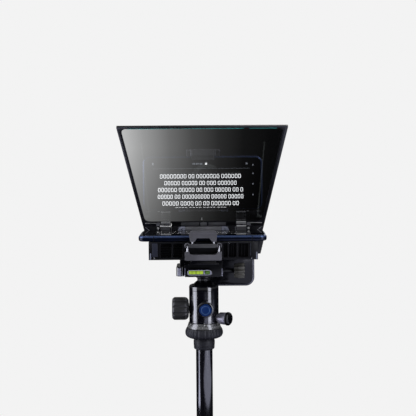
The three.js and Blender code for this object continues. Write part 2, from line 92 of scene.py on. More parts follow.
DECK = upright(at(0, 0, 0))
HEAD = upright(BALL)
GLASS = Matrix.Translation(HINGE) @ Matrix.Rotation(LEAN, 4, "X") @ Matrix.Scale(MM, 4)
# Own Z towards the back and own Y up, for what stands upright across the view.
STANDING = DECK @ Matrix.Rotation(math.pi / 2, 4, "X") @ Matrix.Scale(-1, 4, (0, 0, 1))
IN_FRAME = GLASS @ Matrix.Rotation(math.pi / 2, 4, "X") @ Matrix.Scale(-1, 4, (0, 0, 1))

# ---------------------------------------------------------------- camera
CAMERA_PLACE = at(6.3, -1240, 112.7)
CAMERA_PITCH = 0.0662
CAMERA_ROLL = -0.0075
LENS_MM = 82.33


def make_camera():
    data = bpy.data.cameras.new("camera")
    data.lens = LENS_MM
    data.sensor_width = 36
    data.clip_end = 50
    camera = bpy.data.objects.new("camera", data)
    camera.location = CAMERA_PLACE
    tilt = Matrix.Rotation(math.pi / 2 - CAMERA_PITCH, 4, "X") @ Matrix.Rotation(CAMERA_ROLL, 4, "Z")
    camera.rotation_euler = tilt.to_euler()
    bpy.context.scene.collection.objects.link(camera)
    bpy.context.scene.camera = camera


make_camera()


# ---------------------------------------------------------------- materials
def nodes_of(name):
    made = bpy.data.materials.new(name)
    made.use_nodes = True
    tree = made.node_tree
    return made, tree, tree.nodes["Principled BSDF"]


def node(tree, kind, **inputs):
    made = tree.nodes.new(kind)
    for key, value in inputs.items():
        made.inputs[key.replace("_", " ")].default_value = value
    return made


def object_noise(tree, scale, detail=3, stretch=(1, 1, 1)):
    place = tree.nodes.new("ShaderNodeTexCoord")
    mapping = node(tree, "ShaderNodeMapping", Scale=stretch)
    noise = node(tree, "ShaderNodeTexNoise", Scale=scale, Detail=detail)
    tree.links.new(place.outputs["Object"], mapping.inputs["Vector"])
    tree.links.new(mapping.outputs["Vector"], noise.inputs["Vector"])
    return noise.outputs["Fac"]


def ramp(tree, value, stops):
    made = tree.nodes.new("ShaderNodeValToRGB")
    ends = made.color_ramp.elements
    while len(ends) < len(stops):
        ends.new(0.5)
    for end, (position, colour) in zip(ends, stops):
        end.position = position
        end.color = (*colour, 1)
    tree.links.new(value, made.inputs["Fac"])
    return made.outputs["Color"]


def spread(tree, value, low, high):
    made = node(tree, "ShaderNodeMapRange", To_Min=low, To_Max=high)
    tree.links.new(value, made.inputs["Value"])
    return made.outputs["Result"]


def bump(tree, shader, heights, strength, distance=0.0002, socket="Normal"):
    made = node(tree, "ShaderNodeBump", Strength=strength, Distance=distance)
    tree.links.new(heights, made.inputs["Height"])
    tree.links.new(made.outputs["Normal"], shader.inputs[socket])


def surface(name, colour, rough, metal=0.0, ior=1.5, grain=900, depth=0.15, mottle=0.25, streak=(1, 1, 1)):
    """A moulded or machined surface: its colour and roughness drift a little, and it has a fine grain."""
    made, tree, shader = nodes_of(name)
    broad = object_noise(tree, 55, 4, streak)
    dark = tuple(c * (1 - mottle) for c in colour)
    light = tuple(min(1, c * (1 + mottle)) for c in colour)
    tree.links.new(ramp(tree, broad, [(0.3, dark), (0.7, light)]), shader.inputs["Base Color"])
    smudge = object_noise(tree, 130, 5, streak)
    tree.links.new(spread(tree, smudge, rough * 0.8, min(1, rough * 1.25)), shader.inputs["Roughness"])
    shader.inputs["Metallic"].default_value = metal
    shader.inputs["IOR"].default_value = ior
    if depth:
        bump(tree, shader, object_noise(tree, grain, 2, streak), depth)
    return made


def glow(name, colour, strength):
    made, tree, shader = nodes_of(name)
    shader.inputs["Base Color"].default_value = (0, 0, 0, 1)
    shader.inputs["Roughness"].default_value = 0.6
    shader.inputs["Emission Strength"].default_value = strength
    faint = object_noise(tree, 600, 1)
    even = [(0.0, tuple(c * 0.94 for c in colour)), (1.0, colour)]
    tree.links.new(ramp(tree, faint, even), shader.inputs["Emission Color"])
    return made


def beam_splitter_glass():
    """Part mirror, part clear, with a painted reflection: a glow fixed to the glass that is bright at one side,
    gone at the other, and stronger higher up.
    """
    made, tree, shader = nodes_of("beam_splitter_glass")
    tree.nodes.remove(shader)
    clear = node(tree, "ShaderNodeBsdfTransparent", Color=(0.16, 0.17, 0.17, 1))
    mirror = node(tree, "ShaderNodeBsdfGlossy", Color=(0.95, 0.97, 1, 1), Roughness=0.0)
    half = node(tree, "ShaderNodeMixShader", Fac=0.22)
    tree.links.new(clear.outputs[0], half.inputs[1])
    tree.links.new(mirror.outputs[0], half.inputs[2])
    coords = tree.nodes.new("ShaderNodeTexCoord")
    split = tree.nodes.new("ShaderNodeSeparateXYZ")
    tree.links.new(coords.outputs["Object"], split.inputs[0])
    # The glow's grey across the glass and its strength up the glass are a painted reflection of the
    # surroundings, not a coating.
    across = node(tree, "ShaderNodeMapRange", From_Min=-0.100, From_Max=0.100)
    tree.links.new(split.outputs["X"], across.inputs["Value"])
    painted_reflection_greys = ((0.0, 0.45), (0.14, 0.27), (0.3, 0.125), (0.44, 0.055), (0.6, 0.018), (0.75, 0.004),
            (0.92, 0.0005))
    painted_reflection = ramp(tree, across.outputs["Result"], [(place, (grey,) * 3) for place, grey in painted_reflection_greys])
    rise = node(tree, "ShaderNodeMapRange", From_Min=PHONE_TOP + 0.01, From_Max=PHONE_TOP + 0.11, To_Min=0.42,
            To_Max=1.0)
    tree.links.new(split.outputs["Z"], rise.inputs["Value"])
    painted_reflection_glow = tree.nodes.new("ShaderNodeEmission")
    tree.links.new(painted_reflection, painted_reflection_glow.inputs["Color"])
    tree.links.new(rise.outputs["Result"], painted_reflection_glow.inputs["Strength"])
    both = tree.nodes.new("ShaderNodeAddShader")
    tree.links.new(half.outputs[0], both.inputs[0])
    tree.links.new(painted_reflection_glow.outputs[0], both.inputs[1])
    tree.links.new(both.outputs[0], tree.nodes["Material Output"].inputs["Surface"])
    return made


def woven(name, colour, threads_per_m=1400, sheen=0.25):
    """Plain-weave nylon: two crossed sets of threads, with a soft sheen."""
    made, tree, shader = nodes_of(name)
    place = tree.nodes.new("ShaderNodeTexCoord")
    waves = []
    for direction in ("X", "Z"):
        wave = node(tree, "ShaderNodeTexWave", Scale=threads_per_m / TURN, Distortion=0.6, Detail=1.0)
        wave.bands_direction = direction
        tree.links.new(place.outputs["Object"], wave.inputs["Vector"])
        waves.append(wave.outputs["Fac"])
    weave = tree.nodes.new("ShaderNodeMath")
    weave.operation = "MULTIPLY"
    tree.links.new(waves[0], weave.inputs[0])
    tree.links.new(waves[1], weave.inputs[1])
    dark = tuple(c * 0.6 for c in colour)
    tree.links.new(ramp(tree, weave.outputs[0], [(0.1, dark), (0.8, colour)]), shader.inputs["Base Color"])
    rough = spread(tree, object_noise(tree, 90, 3), 0.75, 0.95)
    tree.links.new(rough, shader.inputs["Roughness"])
    shader.inputs["Sheen Weight"].default_value = sheen
    shader.inputs["Sheen Roughness"].default_value = 0.5
    bump(tree, shader, weave.outputs[0], 0.5, 0.0003)
    return made


def liquid(name, deep, pale, painted_glow):
    made, tree, shader = nodes_of(name)
    drift = object_noise(tree, 160, 2)
    colours = [(0.3, deep), (0.7, pale)]
    tree.links.new(ramp(tree, drift, colours), shader.inputs["Base Color"])
    # The emission is a painted glow that makes the liquid look lit.
    tree.links.new(ramp(tree, drift, colours), shader.inputs["Emission Color"])
    shader.inputs["Emission Strength"].default_value = painted_glow
    shader.inputs["Roughness"].default_value = 0.08
    shader.inputs["Coat Weight"].default_value = 1.0
    return made


def phone_glass(name, colour=(0.003, 0.003, 0.004)):
    made, tree, shader = nodes_of(name)
    prints = object_noise(tree, 45, 5)
    tree.links.new(ramp(tree, prints, [(0.2, colour), (0.9, tuple(c * 1.5 for c in colour))]),
            shader.inputs["Base Color"])
    tree.links.new(spread(tree, prints, 0.015, 0.05), shader.inputs["Roughness"])
    return made


MATERIALS = {
    "anodised": surface("black_anodised", (0.005, 0.005, 0.008), 0.17, ior=1.85, grain=2500, depth=0.05),
    "polished": surface("polished_black_anodised", (0.004, 0.004, 0.007), 0.13, ior=2.35, grain=2500,
            depth=0.03),
    "gunmetal": surface("gunmetal", (0.34, 0.33, 0.38), 0.34, metal=0.45, grain=2500, depth=0.05),
    "bright": surface("light_metal_and_painted_highlight", (0.8, 0.8, 0.77), 0.4, metal=0.2, grain=2500, depth=0.05,
            mottle=0.05),
    "hinge": surface("hinge_plate_grey_and_painted_light", (0.6, 0.6, 0.57), 0.42, metal=0.2, grain=1500, depth=0.2),
    "scale": surface("grey_scale_ring", (0.105, 0.105, 0.098), 0.2, ior=2.5, grain=2000, depth=0.05),
    "satin": surface("satin_anodised", (0.007, 0.007, 0.009), 0.34, ior=1.6, grain=2000, depth=0.08),
    "plastic": surface("black_plastic", (0.007, 0.007, 0.009), 0.42, grain=1500, depth=0.22),
    "gloss": surface("gloss_black", (0.003, 0.003, 0.004), 0.12, grain=2500, depth=0.03),
    "panel": surface("panel_plastic", (0.004, 0.004, 0.005), 0.42, ior=1.33, grain=1500, depth=0.2),
    "pillar": surface("pillar_plastic", (0.035, 0.038, 0.055), 0.32, grain=1500, depth=0.15),
    "grey": surface("grey_plastic", (0.13, 0.127, 0.135), 0.45, grain=1300, depth=0.3),
    "pad": surface("bluish_pad_and_painted_highlight", (0.27, 0.285, 0.35), 0.5, grain=1300, depth=0.25),
    "rubber": surface("rubber", (0.014, 0.014, 0.016), 0.62, grain=1100, depth=0.35),
    "flange": surface("ribbed_rubber", (0.017, 0.017, 0.022), 0.5, grain=900, depth=0.45),
    "blue": surface("blue_anodised", (0.008, 0.045, 0.19), 0.3, metal=0.35, grain=1800, depth=0.1),
    "phone_blue": surface("phone_blue_metal", (0.006, 0.009, 0.022), 0.2, metal=0.5, grain=2500, depth=0.03),
    "pale_blue": surface("pale_blue_line", (0.16, 0.3, 0.55), 0.4, metal=0.2, grain=1800, depth=0.1),
    "phone_top_painted_highlight": surface("phone_metal_painted_highlight", (0.075, 0.115, 0.24), 0.25, metal=0.6, grain=2500, depth=0.03),
    "phone_dark": surface("phone_dark_metal", (0.16, 0.16, 0.18), 0.26, metal=0.9, grain=2500, depth=0.03),
    "phone_back": surface("phone_back_glass", (0.004, 0.004, 0.005), 0.15, ior=1.4, grain=2500, depth=0.02),
    "steel": surface("brushed_steel", (0.42, 0.42, 0.44), 0.3, metal=1.0, grain=1200, depth=0.12, streak=(1,
            1, 8)),
    "chrome": surface("chrome", (0.82, 0.82, 0.85), 0.07, metal=1.0, grain=2000, depth=0.02, mottle=0.04),
    "knurled": surface("knurled_metal_grey_and_painted_light", (0.15, 0.145, 0.12), 0.4, metal=0.3, grain=1500, depth=0.3),
    "shell": surface("frosted_clear_plastic", (0.72, 0.74, 0.82), 0.2, grain=2500, depth=0.03, mottle=0.08),
    "leaf": surface("satin_hinge_leaf", (0.1, 0.1, 0.103), 0.38, metal=0.4, grain=1500, depth=0.2),
    "matt": surface("matt_black_plastic", (0.005, 0.005, 0.007), 0.5, ior=1.35, grain=1500, depth=0.22),
    # Pale lavender: the level's bands, and painted highlights on the clamp's edges and jaw.
    "lavender": surface("pale_bands_and_painted_highlights", (0.55, 0.55, 0.66), 0.35, metal=0.3, grain=2500, depth=0.05,
            mottle=0.05),
    "knob": surface("soft_black_knob", (0.032, 0.032, 0.03), 0.36, ior=1.7, grain=1500, depth=0.2),
    "stop": surface("stop_grey_plastic", (0.17, 0.17, 0.175), 0.45, grain=1300, depth=0.3),
    # The rail and hinge greys are lightened as painted light for the downward-facing glass bar.
    "rail_dark": surface("dark_rail_grey_and_painted_light", (0.2, 0.2, 0.208), 0.45, grain=1300, depth=0.3),
    "rail": surface("rail_grey_and_painted_light", (0.32, 0.32, 0.33), 0.42, grain=1300, depth=0.3),
    "dusk": surface("dark_grey_plastic", (0.028, 0.028, 0.03), 0.45, grain=1300, depth=0.3),
    "mark": surface("white_marking", (0.62, 0.62, 0.58), 0.5, grain=1500, depth=0.1),
    "fabric": woven("hood_fabric", (0.014, 0.014, 0.016)),
    "binding": woven("hood_binding", (0.014, 0.014, 0.016), 2200, 0.1),
    "thread": surface("sewing_thread", (0.05, 0.05, 0.055), 0.7, grain=3000, depth=0.5),
    "screen": phone_glass("screen_glass"),
    "lens": phone_glass("lens_glass", (0.004, 0.003, 0.009)),
    "script": glow("script_light", (1.0, 1.0, 1.0), 4.0),
    "dim": glow("dim_script_light", (0.7, 0.75, 0.85), 0.8),
    "live": glow("viewfinder_light", (0.16, 0.18, 0.2), 0.6),
    "record": glow("record_light", (1.0, 0.06, 0.04), 1.2),
    "vial": liquid("vial_liquid", (0.42, 0.62, 0.04), (0.62, 0.85, 0.08), 0.35),
    "vial_dark": liquid("dark_vial_liquid", (0.1, 0.22, 0.03), (0.2, 0.36, 0.09), 0.2),
    "teal": surface("glass_edge", (0.06, 0.5, 0.43), 0.25, grain=900, depth=0.1),
    "splitter": beam_splitter_glass(),
}


# ---------------------------------------------------------------- forms
class Form:
    """Collects closed shells, given in millimetres in a space of their own, into one piece."""

    def __init__(self):
        self.points = []
        self.faces = []
        self.marks = []

    def add(self, place, points, faces, mark=0):
        start = len(self.points)
        flip = place.determinant() < 0
        self.points += [place @ Vector(p) for p in points]
        for face in faces:
            ring = [start + i for i in face]
            self.faces.append(ring[::-1] if flip else ring)
            self.marks.append(mark)
        return self

    def stack(self, place, loops, mark=0, cap=True, ring=False):
        """Loops of equal length joined one to the next. The ends are capped, or the last joins the first."""
        count = len(loops[0])
        points = [p for loop in loops for p in loop]
        faces = []
        last = len(loops) if ring else len(loops) - 1
        for i in range(last):
            j = (i + 1) % len(loops)
            for k in range(count):
                m = (k + 1) % count
                faces.append([i * count + k, i * count + m, j * count + m, j * count + k])
        if cap and not ring:
            faces.append(list(range(count))[::-1])
            faces.append([(len(loops) - 1) * count + k for k in range(count)])
        return self.add(place, points, faces, mark)

    def lathe(self, place, profile, segments=96, ring=False, wave=None, mark=0):
        """profile lists (radius, height) from bottom to top on the outside. wave changes a radius."""
        loops = []
        for radius, height in profile:
            loop = []
            for k in range(segments):
                angle = TURN * k / segments
                r = max(radius, 0.02)
                if wave:
                    r = wave(r, height, angle)
                loop.append((r * math.cos(angle), r * math.sin(angle), height))
            loops.append(loop)
        return self.stack(place, loops, mark, ring=ring)

    def slab(self, place, outline, layers, mark=0):
        """outline(inset) gives a loop of (x, y), and layers lists (inset, z) upwards."""
        loops = [[(x, y, z) for x, y in outline(inset)] for inset, z in layers]
        return self.stack(place, loops, mark)

    def box(self, place, low, high, mark=0):
        (x0, y0, z0), (x1, y1, z1) = low, high
        loops = [[(x0, y0, z), (x1, y0, z), (x1, y1, z), (x0, y1, z)] for z in (z0, z1)]
        return self.stack(place, loops, mark)

    def prism(self, place, outline, z0, z1, mark=0):
        return self.stack(place, [[(x, y, z) for x, y in outline] for z in (z0, z1)], mark)

    def hook(self, place, radius, thick, start, end, mark=0, steps=24, around=12):
        """A round bar bent to part of a circle that stands across the view."""
        loops = []
        for k in range(steps + 1):
            turn = math.radians(start + (end - start) * k / steps)
            loop = []
            for j in range(around):
                a = TURN * j / around
                reach = radius + thick * math.cos(a)
                loop.append((reach * math.cos(turn), thick * math.sin(a), reach * math.sin(turn)))
            loops.append(loop)
        return self.stack(place, loops, mark)

    def piece(self, name, body, slot, materials, bevel=0.0, segments=2, sharp=35, smooth=True):
        mesh = bpy.data.meshes.new(name)
        mesh.from_pydata([tuple(p) for p in self.points], [], self.faces)
        for kind in materials:
            mesh.materials.append(MATERIALS[kind])
        mesh.polygons.foreach_set("material_index", self.marks)
        made = bmesh.new()
        made.from_mesh(mesh)
        bmesh.ops.recalc_face_normals(made, faces=made.faces)
        made.to_mesh(mesh)
        made.free()
        if smooth:
            mesh.shade_smooth()
            mesh.set_sharp_from_angle(angle=math.radians(sharp))
        obj = bpy.data.objects.new(name, mesh)
        bpy.context.scene.collection.objects.link(obj)
        if bevel:
            add_bevel(obj, bevel, segments, sharp)
        if body:
            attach(obj, body)
        return obj


def add_bevel(obj, width, segments=2, sharp=35):
    rounding = obj.modifiers.new("edges", "BEVEL")
    rounding.width = width * MM
    rounding.segments = segments
    rounding.limit_method = "ANGLE"
    rounding.angle_limit = math.radians(sharp)
    rounding.harden_normals = True
    rounding.use_clamp_overlap = True


def rounded(x0, x1, y0, y1, radius, steps=8):
    """A function of inset that gives a rectangle with round corners, always with as many points."""
    def outline(inset=0.0):
        r = max(radius - inset, 0.05)
        corners = [(x1 - inset - r, y0 + inset + r, -90), (x1 - inset - r, y1 - inset - r, 0),
                (x0 + inset + r, y1 - inset - r, 90), (x0 + inset + r, y0 + inset + r, 180)]
        loop = []
        for cx, cy, start in corners:
            for k in range(steps + 1):
                angle = math.radians(start + 90 * k / steps)
                loop.append((cx + r * math.cos(angle), cy + r * math.sin(angle)))
        return loop
    return outline


def round_edge(low, high, radius, steps=5):
    """Layers for a slab whose edge is rounded over at the bottom and the top."""
    bottom = [(radius * (1 - math.sin(a)),
            low + radius * (1 - math.cos(a))) for a in (math.pi / 2 * k / steps for k in range(steps + 1))]
    top = [(inset, low + high - z) for inset, z in reversed(bottom)]
    return bottom + top


def flutes(count, depth, low, high, power=1.0):
    """Grooves down a turned piece between two heights."""
    def wave(r, height, angle):
        if not low <= height <= high:
            return r
        return r - depth * (0.5 - 0.5 * math.cos(count * angle)) ** power
    return wave


def dress(name, material, bevel=0.35, segments=2, sharp=35):
    """Gives a CAD node its material and soft edges."""
    obj = frame["nodes"][name]
    obj.data.materials.clear()
    obj.data.materials.append(MATERIALS[material])
    weld = obj.modifiers.new("weld", "WELD")
    weld.merge_threshold = 0.00001
    if bevel:
        add_bevel(obj, bevel, segments, sharp)
        obj.data.shade_smooth()


def screw(form, place, radius=1.6, height=0.7, mark=0, socket=1):
    """A cap screw's head with a hexagon socket."""
    form.lathe(place, [(radius, 0), (radius, height * 0.75), (radius * 0.86, height), (radius * 0.5, height),
            (radius * 0.46, height * 0.45), (0, height * 0.45)], 24, mark=mark)
    form.lathe(place, [(radius * 0.44, height * 0.46), (radius * 0.44, height * 0.5), (0, height * 0.5)], 6,
            mark=socket)


SPEAKER = (0, -1, 0)
BACK = (0, 1, 0)
RIGHT = (1, 0, 0)
LEFT = (-1, 0, 0)
UP = (0, 0, 1)


# ---------------------------------------------------------------- column
def make_column():
    base = upright()
    cap = Form().lathe(base, [(0, 0), (10.6, 0), (12.1, 0.6), (12.5, 1.6), (12.5, 8.6), (12.1, 9.6), (11, 10),
            (9, 10.1), (9, 21.8), (0, 21.8)], wave=flutes(30, 0.35, 1.7, 8.5))
    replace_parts(cap.piece("end_cap", "column", "rubber", ["rubber"]), "column_end_cap")

    low, high = (z[2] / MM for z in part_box("column_tube"))
    tube = Form().lathe(base, [(9.4, low), (10.6, low), (10.9, low + 0.4), (10.9, high - 0.4), (10.6, high),
            (9.4, high)], 96, ring=True)
    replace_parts(tube.piece("column_shaft", "column", "black_anodised", ["polished"]), "column_tube")

    collar = Form().lathe(base, [(0, 108), (9, 108), (9, 120), (12.4, 120), (13.2, 120.4), (13.6, 121.6),
            (13.8, 124), (13.4, 124.3), (13.4, 125), (13.9, 125.3), (14, 130.6), (13.6, 132), (12.6, 134.2),
            (0, 134.3)])
    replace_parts(collar.piece("column_top_collar", "column", "black_anodised", ["flange"]), "column_collar")

    ribs = flutes(28, 0.7, 136.9, 147.2, 1.5)
    flange = Form().lathe(base, [(0, 134.7), (14.5, 134.7), (17.5, 135), (20.6, 135.7), (22.7, 136.8),
            (24, 138.2), (24.8, 140.2), (24.8, 143.2), (24.4, 145), (23.8, 146.6), (23, 147.9), (22.6, 148),
            (14.2, 148), (14.2, 161.5), (0, 161.5)], 224, wave=ribs)
    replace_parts(flange.piece("pan_base", "column", "rubber", ["flange"]), "base_flange")

    (wide, low), (narrow, high) = (22.3, 148.7), (20.1, 155.2)
    ring = Form().lathe(base, [(14.5, 148.3), (22, 148.3), (wide, low), (narrow, high), (19.8, 155.5),
            (14.5, 155.5)], 128, ring=True)
    slope = Matrix.Rotation(-math.atan2(wide - narrow, high - low), 4, "Y")
    marks, foot = 72, -2.2
    for k in range(marks):
        long = k % 6 == 0
        side = base @ Matrix.Rotation(TURN * k / marks, 4, "Z") @ Matrix.Translation((21.2, 0, 152)) @ slope
        ring.box(side, (-0.1, -0.16, foot), (0.07, 0.16, foot + (4.4 if long else 2.2)), 1)
        if long:
            spot = side @ Matrix.Translation((0, 0.9, 2.6)) @ Matrix.Rotation(math.pi / 2, 4, "Y")
            ring.lathe(spot, [(0.75, -0.1), (0.75, 0.07)], 16, mark=1)
    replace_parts(ring.piece("degree_ring", "column", "black_anodised", ["scale", "mark"]), "scale_ring")


# ---------------------------------------------------------------- ball head
BALL_RADIUS = 17
BARREL_RADIUS = 19.3
NECK_RADIUS = 8.4


def make_head():
    wide = BARREL_RADIUS
    shell = [(14.6, -39.7), (18.8, -39.7), (wide, -39.2), (wide, -37.6), (19.1, -37.4), (19.1, -37),
            (wide, -36.8), (wide, -7.6), (18.8, -7.5), (18.8, -6.9), (wide, -6.8), (wide, 2.5), (19.1, 2.7),
            (17.4, 2.7), (17.4, 0), (16.6, -5.2), (14.6, -9.5)]
    housing = Form().lathe(HEAD, shell, 128, ring=True)
    housing.box(HEAD, (-0.25, -wide - 0.08, -39.2), (0.25, 0.1 - wide, -37.8), 1)
    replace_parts(housing.piece("head_barrel", "pan_head", "black_anodised", ["polished", "mark"]),
            "head_housing")

    collar = Form().lathe(HEAD, [(17.2, 2.8), (19.1, 2.8), (wide, 3), (wide, 7.2), (19.1, 7.8), (18.3, 9),
            (17.6, 9.3), (15.7, 9.4), (15.2, 9.1)], 128, ring=True)
    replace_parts(collar.piece("head_top_ring", "pan_head", "black_plastic", ["polished"]), "head_collar")

    turns = [math.pi * k / 40 for k in range(41)]
    sphere = [(BALL_RADIUS * math.sin(a), -BALL_RADIUS * math.cos(a)) for a in turns]
    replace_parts(Form().lathe(HEAD, sphere, 96).piece("head_ball", "ball", "steel", ["gloss"]), "ball")

    hollow = BALL_RADIUS + 0.4
    turns = [math.asin(NECK_RADIUS / hollow) * k / 8 for k in range(9)]
    cup = [(hollow * math.sin(a), hollow * math.cos(a)) for a in turns]
    neck = [(NECK_RADIUS, 17.9), (10.1, 19.3), (10.4, 19.7), (10.4, 21.9), (10.1, 22.2), (0, 22.2)]
    stem = Form().lathe(HEAD, cup + neck, 192, wave=flutes(12, 0.5, 15.3, 18.0, 3.0))
    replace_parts(stem.piece("head_stem", "ball_stem", "steel", ["satin"]), "ball_stem")
    dress("ball_seat", "grey", 0.3)


def make_head_knobs():
    main = axis(Vector((0, BALL.y, centre("main_knob").z)), LEFT)
    profile = [(0, 14.7), (3.5, 14.7), (3.5, 20), (10.6, 20.1), (11.6, 20.4), (13.6, 21.8), (14.6, 23.4),
            (15, 25.2), (15, 38.4), (14.6, 39.4), (13.2, 41), (12.4, 41.5), (11.4, 41.6), (10.8, 41.1),
            (0, 41)]
    knob = Form().lathe(main, profile, 256, wave=flutes(10, 1.25, 21, 40.5, 3.0))
    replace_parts(knob.piece("lock_knob", "main_knob", "black_plastic", ["knob"], sharp=30), "main_knob")
    hub = Form().lathe(main, [(0, 19.5), (6.6, 19.5), (6.8, 19.8), (6.8, 20.6), (0, 20.7)], 48)
    hub.piece("lock_knob_hub", "main_knob", "black_plastic", ["grey"])

    front = axis(Vector((centre("friction_knob").x, 0, centre("friction_knob").z)), SPEAKER)
    ring = [(0, 14.7), (2.5, 14.7), (2.5, 19.7), (9.1, 19.7), (9.9, 20.1), (10.2, 20.8), (10.2, 26.6),
            (9.9, 27.4), (9.2, 27.8), (8.4, 27.8), (8.1, 27.5), (8.1, 26.6), (0, 26.6)]
    knob = Form().lathe(front, ring, 216, wave=flutes(36, 0.35, 20.9, 26.5, 1.5))
    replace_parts(knob.piece("friction_ring", "friction_knob", "black_plastic", ["polished"], sharp=30),
            "friction_knob")
    cap = [(0, 26.9), (7.5, 26.9), (7.8, 27.2), (7.8, 27.9), (7.5, 28.4), (6.9, 28.6), (6.2, 28.45),
            (0, 28.2)]
    button = Form().lathe(front, cap, 96)
    button.lathe(front, [(5.0, 28.2), (5.4, 28.2), (5.4, 28.46), (5.0, 28.4)], 96, ring=True, mark=1)
    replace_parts(button.piece("friction_cap", "friction_knob", "blue_anodised", ["blue", "pale_blue"]),
            "friction_knob_cap")

    turn = Matrix.Rotation(-math.pi / 6, 3, "Z") @ Vector(RIGHT)
    side = axis(Vector((0, 0, centre("pan_knob").z)), turn)
    barrel = [(0, 14.8), (2.6, 14.8), (2.6, 19.8), (4.4, 19.9), (5, 20.4), (5.4, 22.4), (7, 23.6),
            (7.6, 24.6), (8.1, 33.8), (7.8, 34.1), (7.8, 34.5), (0, 34.5)]
    end = [(0, 34.6), (8.3, 34.6), (8.7, 34.8), (8.8, 35.2), (8.8, 36.8), (8.2, 38), (7, 39.1), (5.5, 39.6),
            (0, 39.9)]
    knob = Form().lathe(side, barrel, 96).lathe(side, end, 240, wave=flutes(30, 0.35, 34.7, 37, 1.5), mark=1)
    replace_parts(knob.piece("pan_lock", "pan_knob", "black_anodised", ["gunmetal", "gloss"]), "pan_knob")


# ---------------------------------------------------------------- quick-release clamp
def make_clamp():
    dress("clamp_base", "panel", 0.6, 3)
    dress("qr_plate", "anodised", 0.6, 3)
    jaw = Form().slab(DECK, rounded(-35.3, -24.8, -22, 22, 4.2, 12), round_edge(-56.4, -44.4, 0.8, 4))
    hook = [(-30.7, -45), (-24.9, -45), (-24.9, -40.1), (-19.4, -40.1), (-19.4, -39.1), (-16.6, -36.3),
            (-16.9, -36.1), (-30.1, -36.1), (-30.7, -36.7)]
    jaw.stack(DECK, [[(x, y, z) for x, z in hook] for y in (-17, 17)])
    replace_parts(jaw.piece("clamp_side_jaw", "clamp_jaw", "black_anodised", ["polished"], bevel=0.3),
            "clamp_jaw")
    dress("clamp_screw", "panel", 0.3)
    side = axis(Vector((0, 0, centre("clamp_knob").z)), RIGHT)
    profile = [(0, 39.9), (8.2, 39.9), (9, 40.3), (9.4, 41), (9.4, 43.6), (9.9, 44.2), (10.3, 44.8),
            (10.3, 52.6), (9.9, 53.3), (9.2, 53.6), (7, 53.6), (6.6, 53.2), (0, 53.1)]
    # The knob's grey is partly its own colour and partly painted light: lightened where the lamps leave it in
    # shade.
    knob = Form().lathe(side, profile, 240, wave=flutes(10, 1.7, 40.2, 53.4, 1.4))
    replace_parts(knob.piece("clamp_wheel", "clamp_knob", "knurled_metal", ["knurled"], sharp=30), "clamp_knob")
    spacer = Form().lathe(side, [(0, 24.7), (5.2, 24.7), (5.2, 26.4), (4.4, 27), (3.05, 27)], 48)
    spacer.piece("clamp_bushing", "clamp_knob", "steel", ["plastic"])


def make_level():
    """A dark housing with a pale bezel round one window, and the tube with its lines in it."""
    low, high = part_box("level_housing")
    left, right = low[0] / MM, high[0] / MM
    front, back = low[1] / MM, high[1] / MM
    base, top = (low[2] - PHONE_TOP) / MM, (high[2] - PHONE_TOP) / MM
    outline = rounded(left, right, base, top, 5.1, 10)
    window = rounded(left + 1.3, right - 1.1, base + 2.4, top - 1.4, 3.2, 10)
    loops = [[(x, y, z) for x, y in outline(inset)] for inset, z in ((0.2, back), (0, back - 0.2),
            (0, front + 0.8), (0.3, front + 0.25), (0.9, front))]
    loops += [[(x, y, z) for x, y in window(0)] for z in (front, front + 2)]
    body = Form().stack(STANDING, loops)
    bezel = [(0, front - 0.15), (0, front + 0.3), (0.8, front + 0.3), (0.8, front + 0.05),
            (0.3, front - 0.15)]
    body.stack(STANDING, [[(x, y, z) for x, y in window(inset)] for inset, z in bezel], 1, ring=True)
    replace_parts(body.piece("level_frame", "clamp", "chrome", ["gloss", "shell"]), "level_housing")
    middle = (base + top) / 2 + 0.5
    tube = axis(at(0, front + 2.05, middle), RIGHT)
    long_end, (short_start, short_end) = left + 3, (2.2, 8.1)
    vial = Form().lathe(tube, [(0, long_end), (1.6, long_end + 0.1), (2.3, long_end + 0.8), (2.3, -1.2),
            (1.7, -0.6), (0, -0.5)], 40)
    vial.lathe(tube, [(0, short_start), (1.7, short_start + 0.1), (2.3, short_start + 0.6),
            (2.3, short_end - 0.6), (1.7, short_end), (0, short_end)], 40, mark=3)
    for x, wide in ((-14.8, 0.15), (-9.6, 0.5), (-5.2, 0.15), (4.3, 0.2), (6.1, 0.2)):
        vial.lathe(tube, [(2.36, x - wide), (2.36, x + wide)], 40, mark=3)
    for x0, x1 in ((-0.3, 1.7), (left + 1.7, long_end + 0.4), (8.2, 9.9)):
        vial.lathe(tube, [(2.4, x0), (2.4, x1)], 40, mark=2)
    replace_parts(vial.piece("level_tubes", "clamp", "vial_liquid",
            ["vial", "plastic", "lavender", "vial_dark"]), "level_vial")


def make_clamp_details():
    # Pale lavender strips on the clamp's two front edges and on the jaw's face are painted highlights.
    edges = Form()
    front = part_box("clamp_base")[0][1] / MM
    for x0, x1 in ((-24.3, -23.5), (23.4, 24.3)):
        edges.slab(STANDING, rounded(x0, x1, -56, -45.6, 0.35, 3),
                round_edge(front - 0.25, front + 0.3, 0.2, 3))
    edges.piece("clamp_painted_edge_highlights", "clamp", "black_anodised", ["lavender"])
    face = Form().slab(STANDING, rounded(-33, -29.3, -55.4, -45.4, 0.8, 4),
            round_edge(-22.25, -21.7, 0.25, 3))
    face.piece("jaw_painted_highlight", "clamp_jaw", "black_anodised", ["lavender"])

    details = Form()
    for x in (-18.5, 18.5):
        for y in (-18, 18):
            screw(details, axis(at(x, y, -56.8), (0, 0, -1)), 2.2, 0.8)
    details.piece("clamp_screws", "clamp", "steel", ["steel", "panel"])
    plate_screw = Form()
    screw(plate_screw, axis(at(0, 0, -40.1), (0, 0, -1)), 4.5, 0.25)
    plate_screw.piece("plate_screw", "prompter", "steel", ["steel", "panel"])


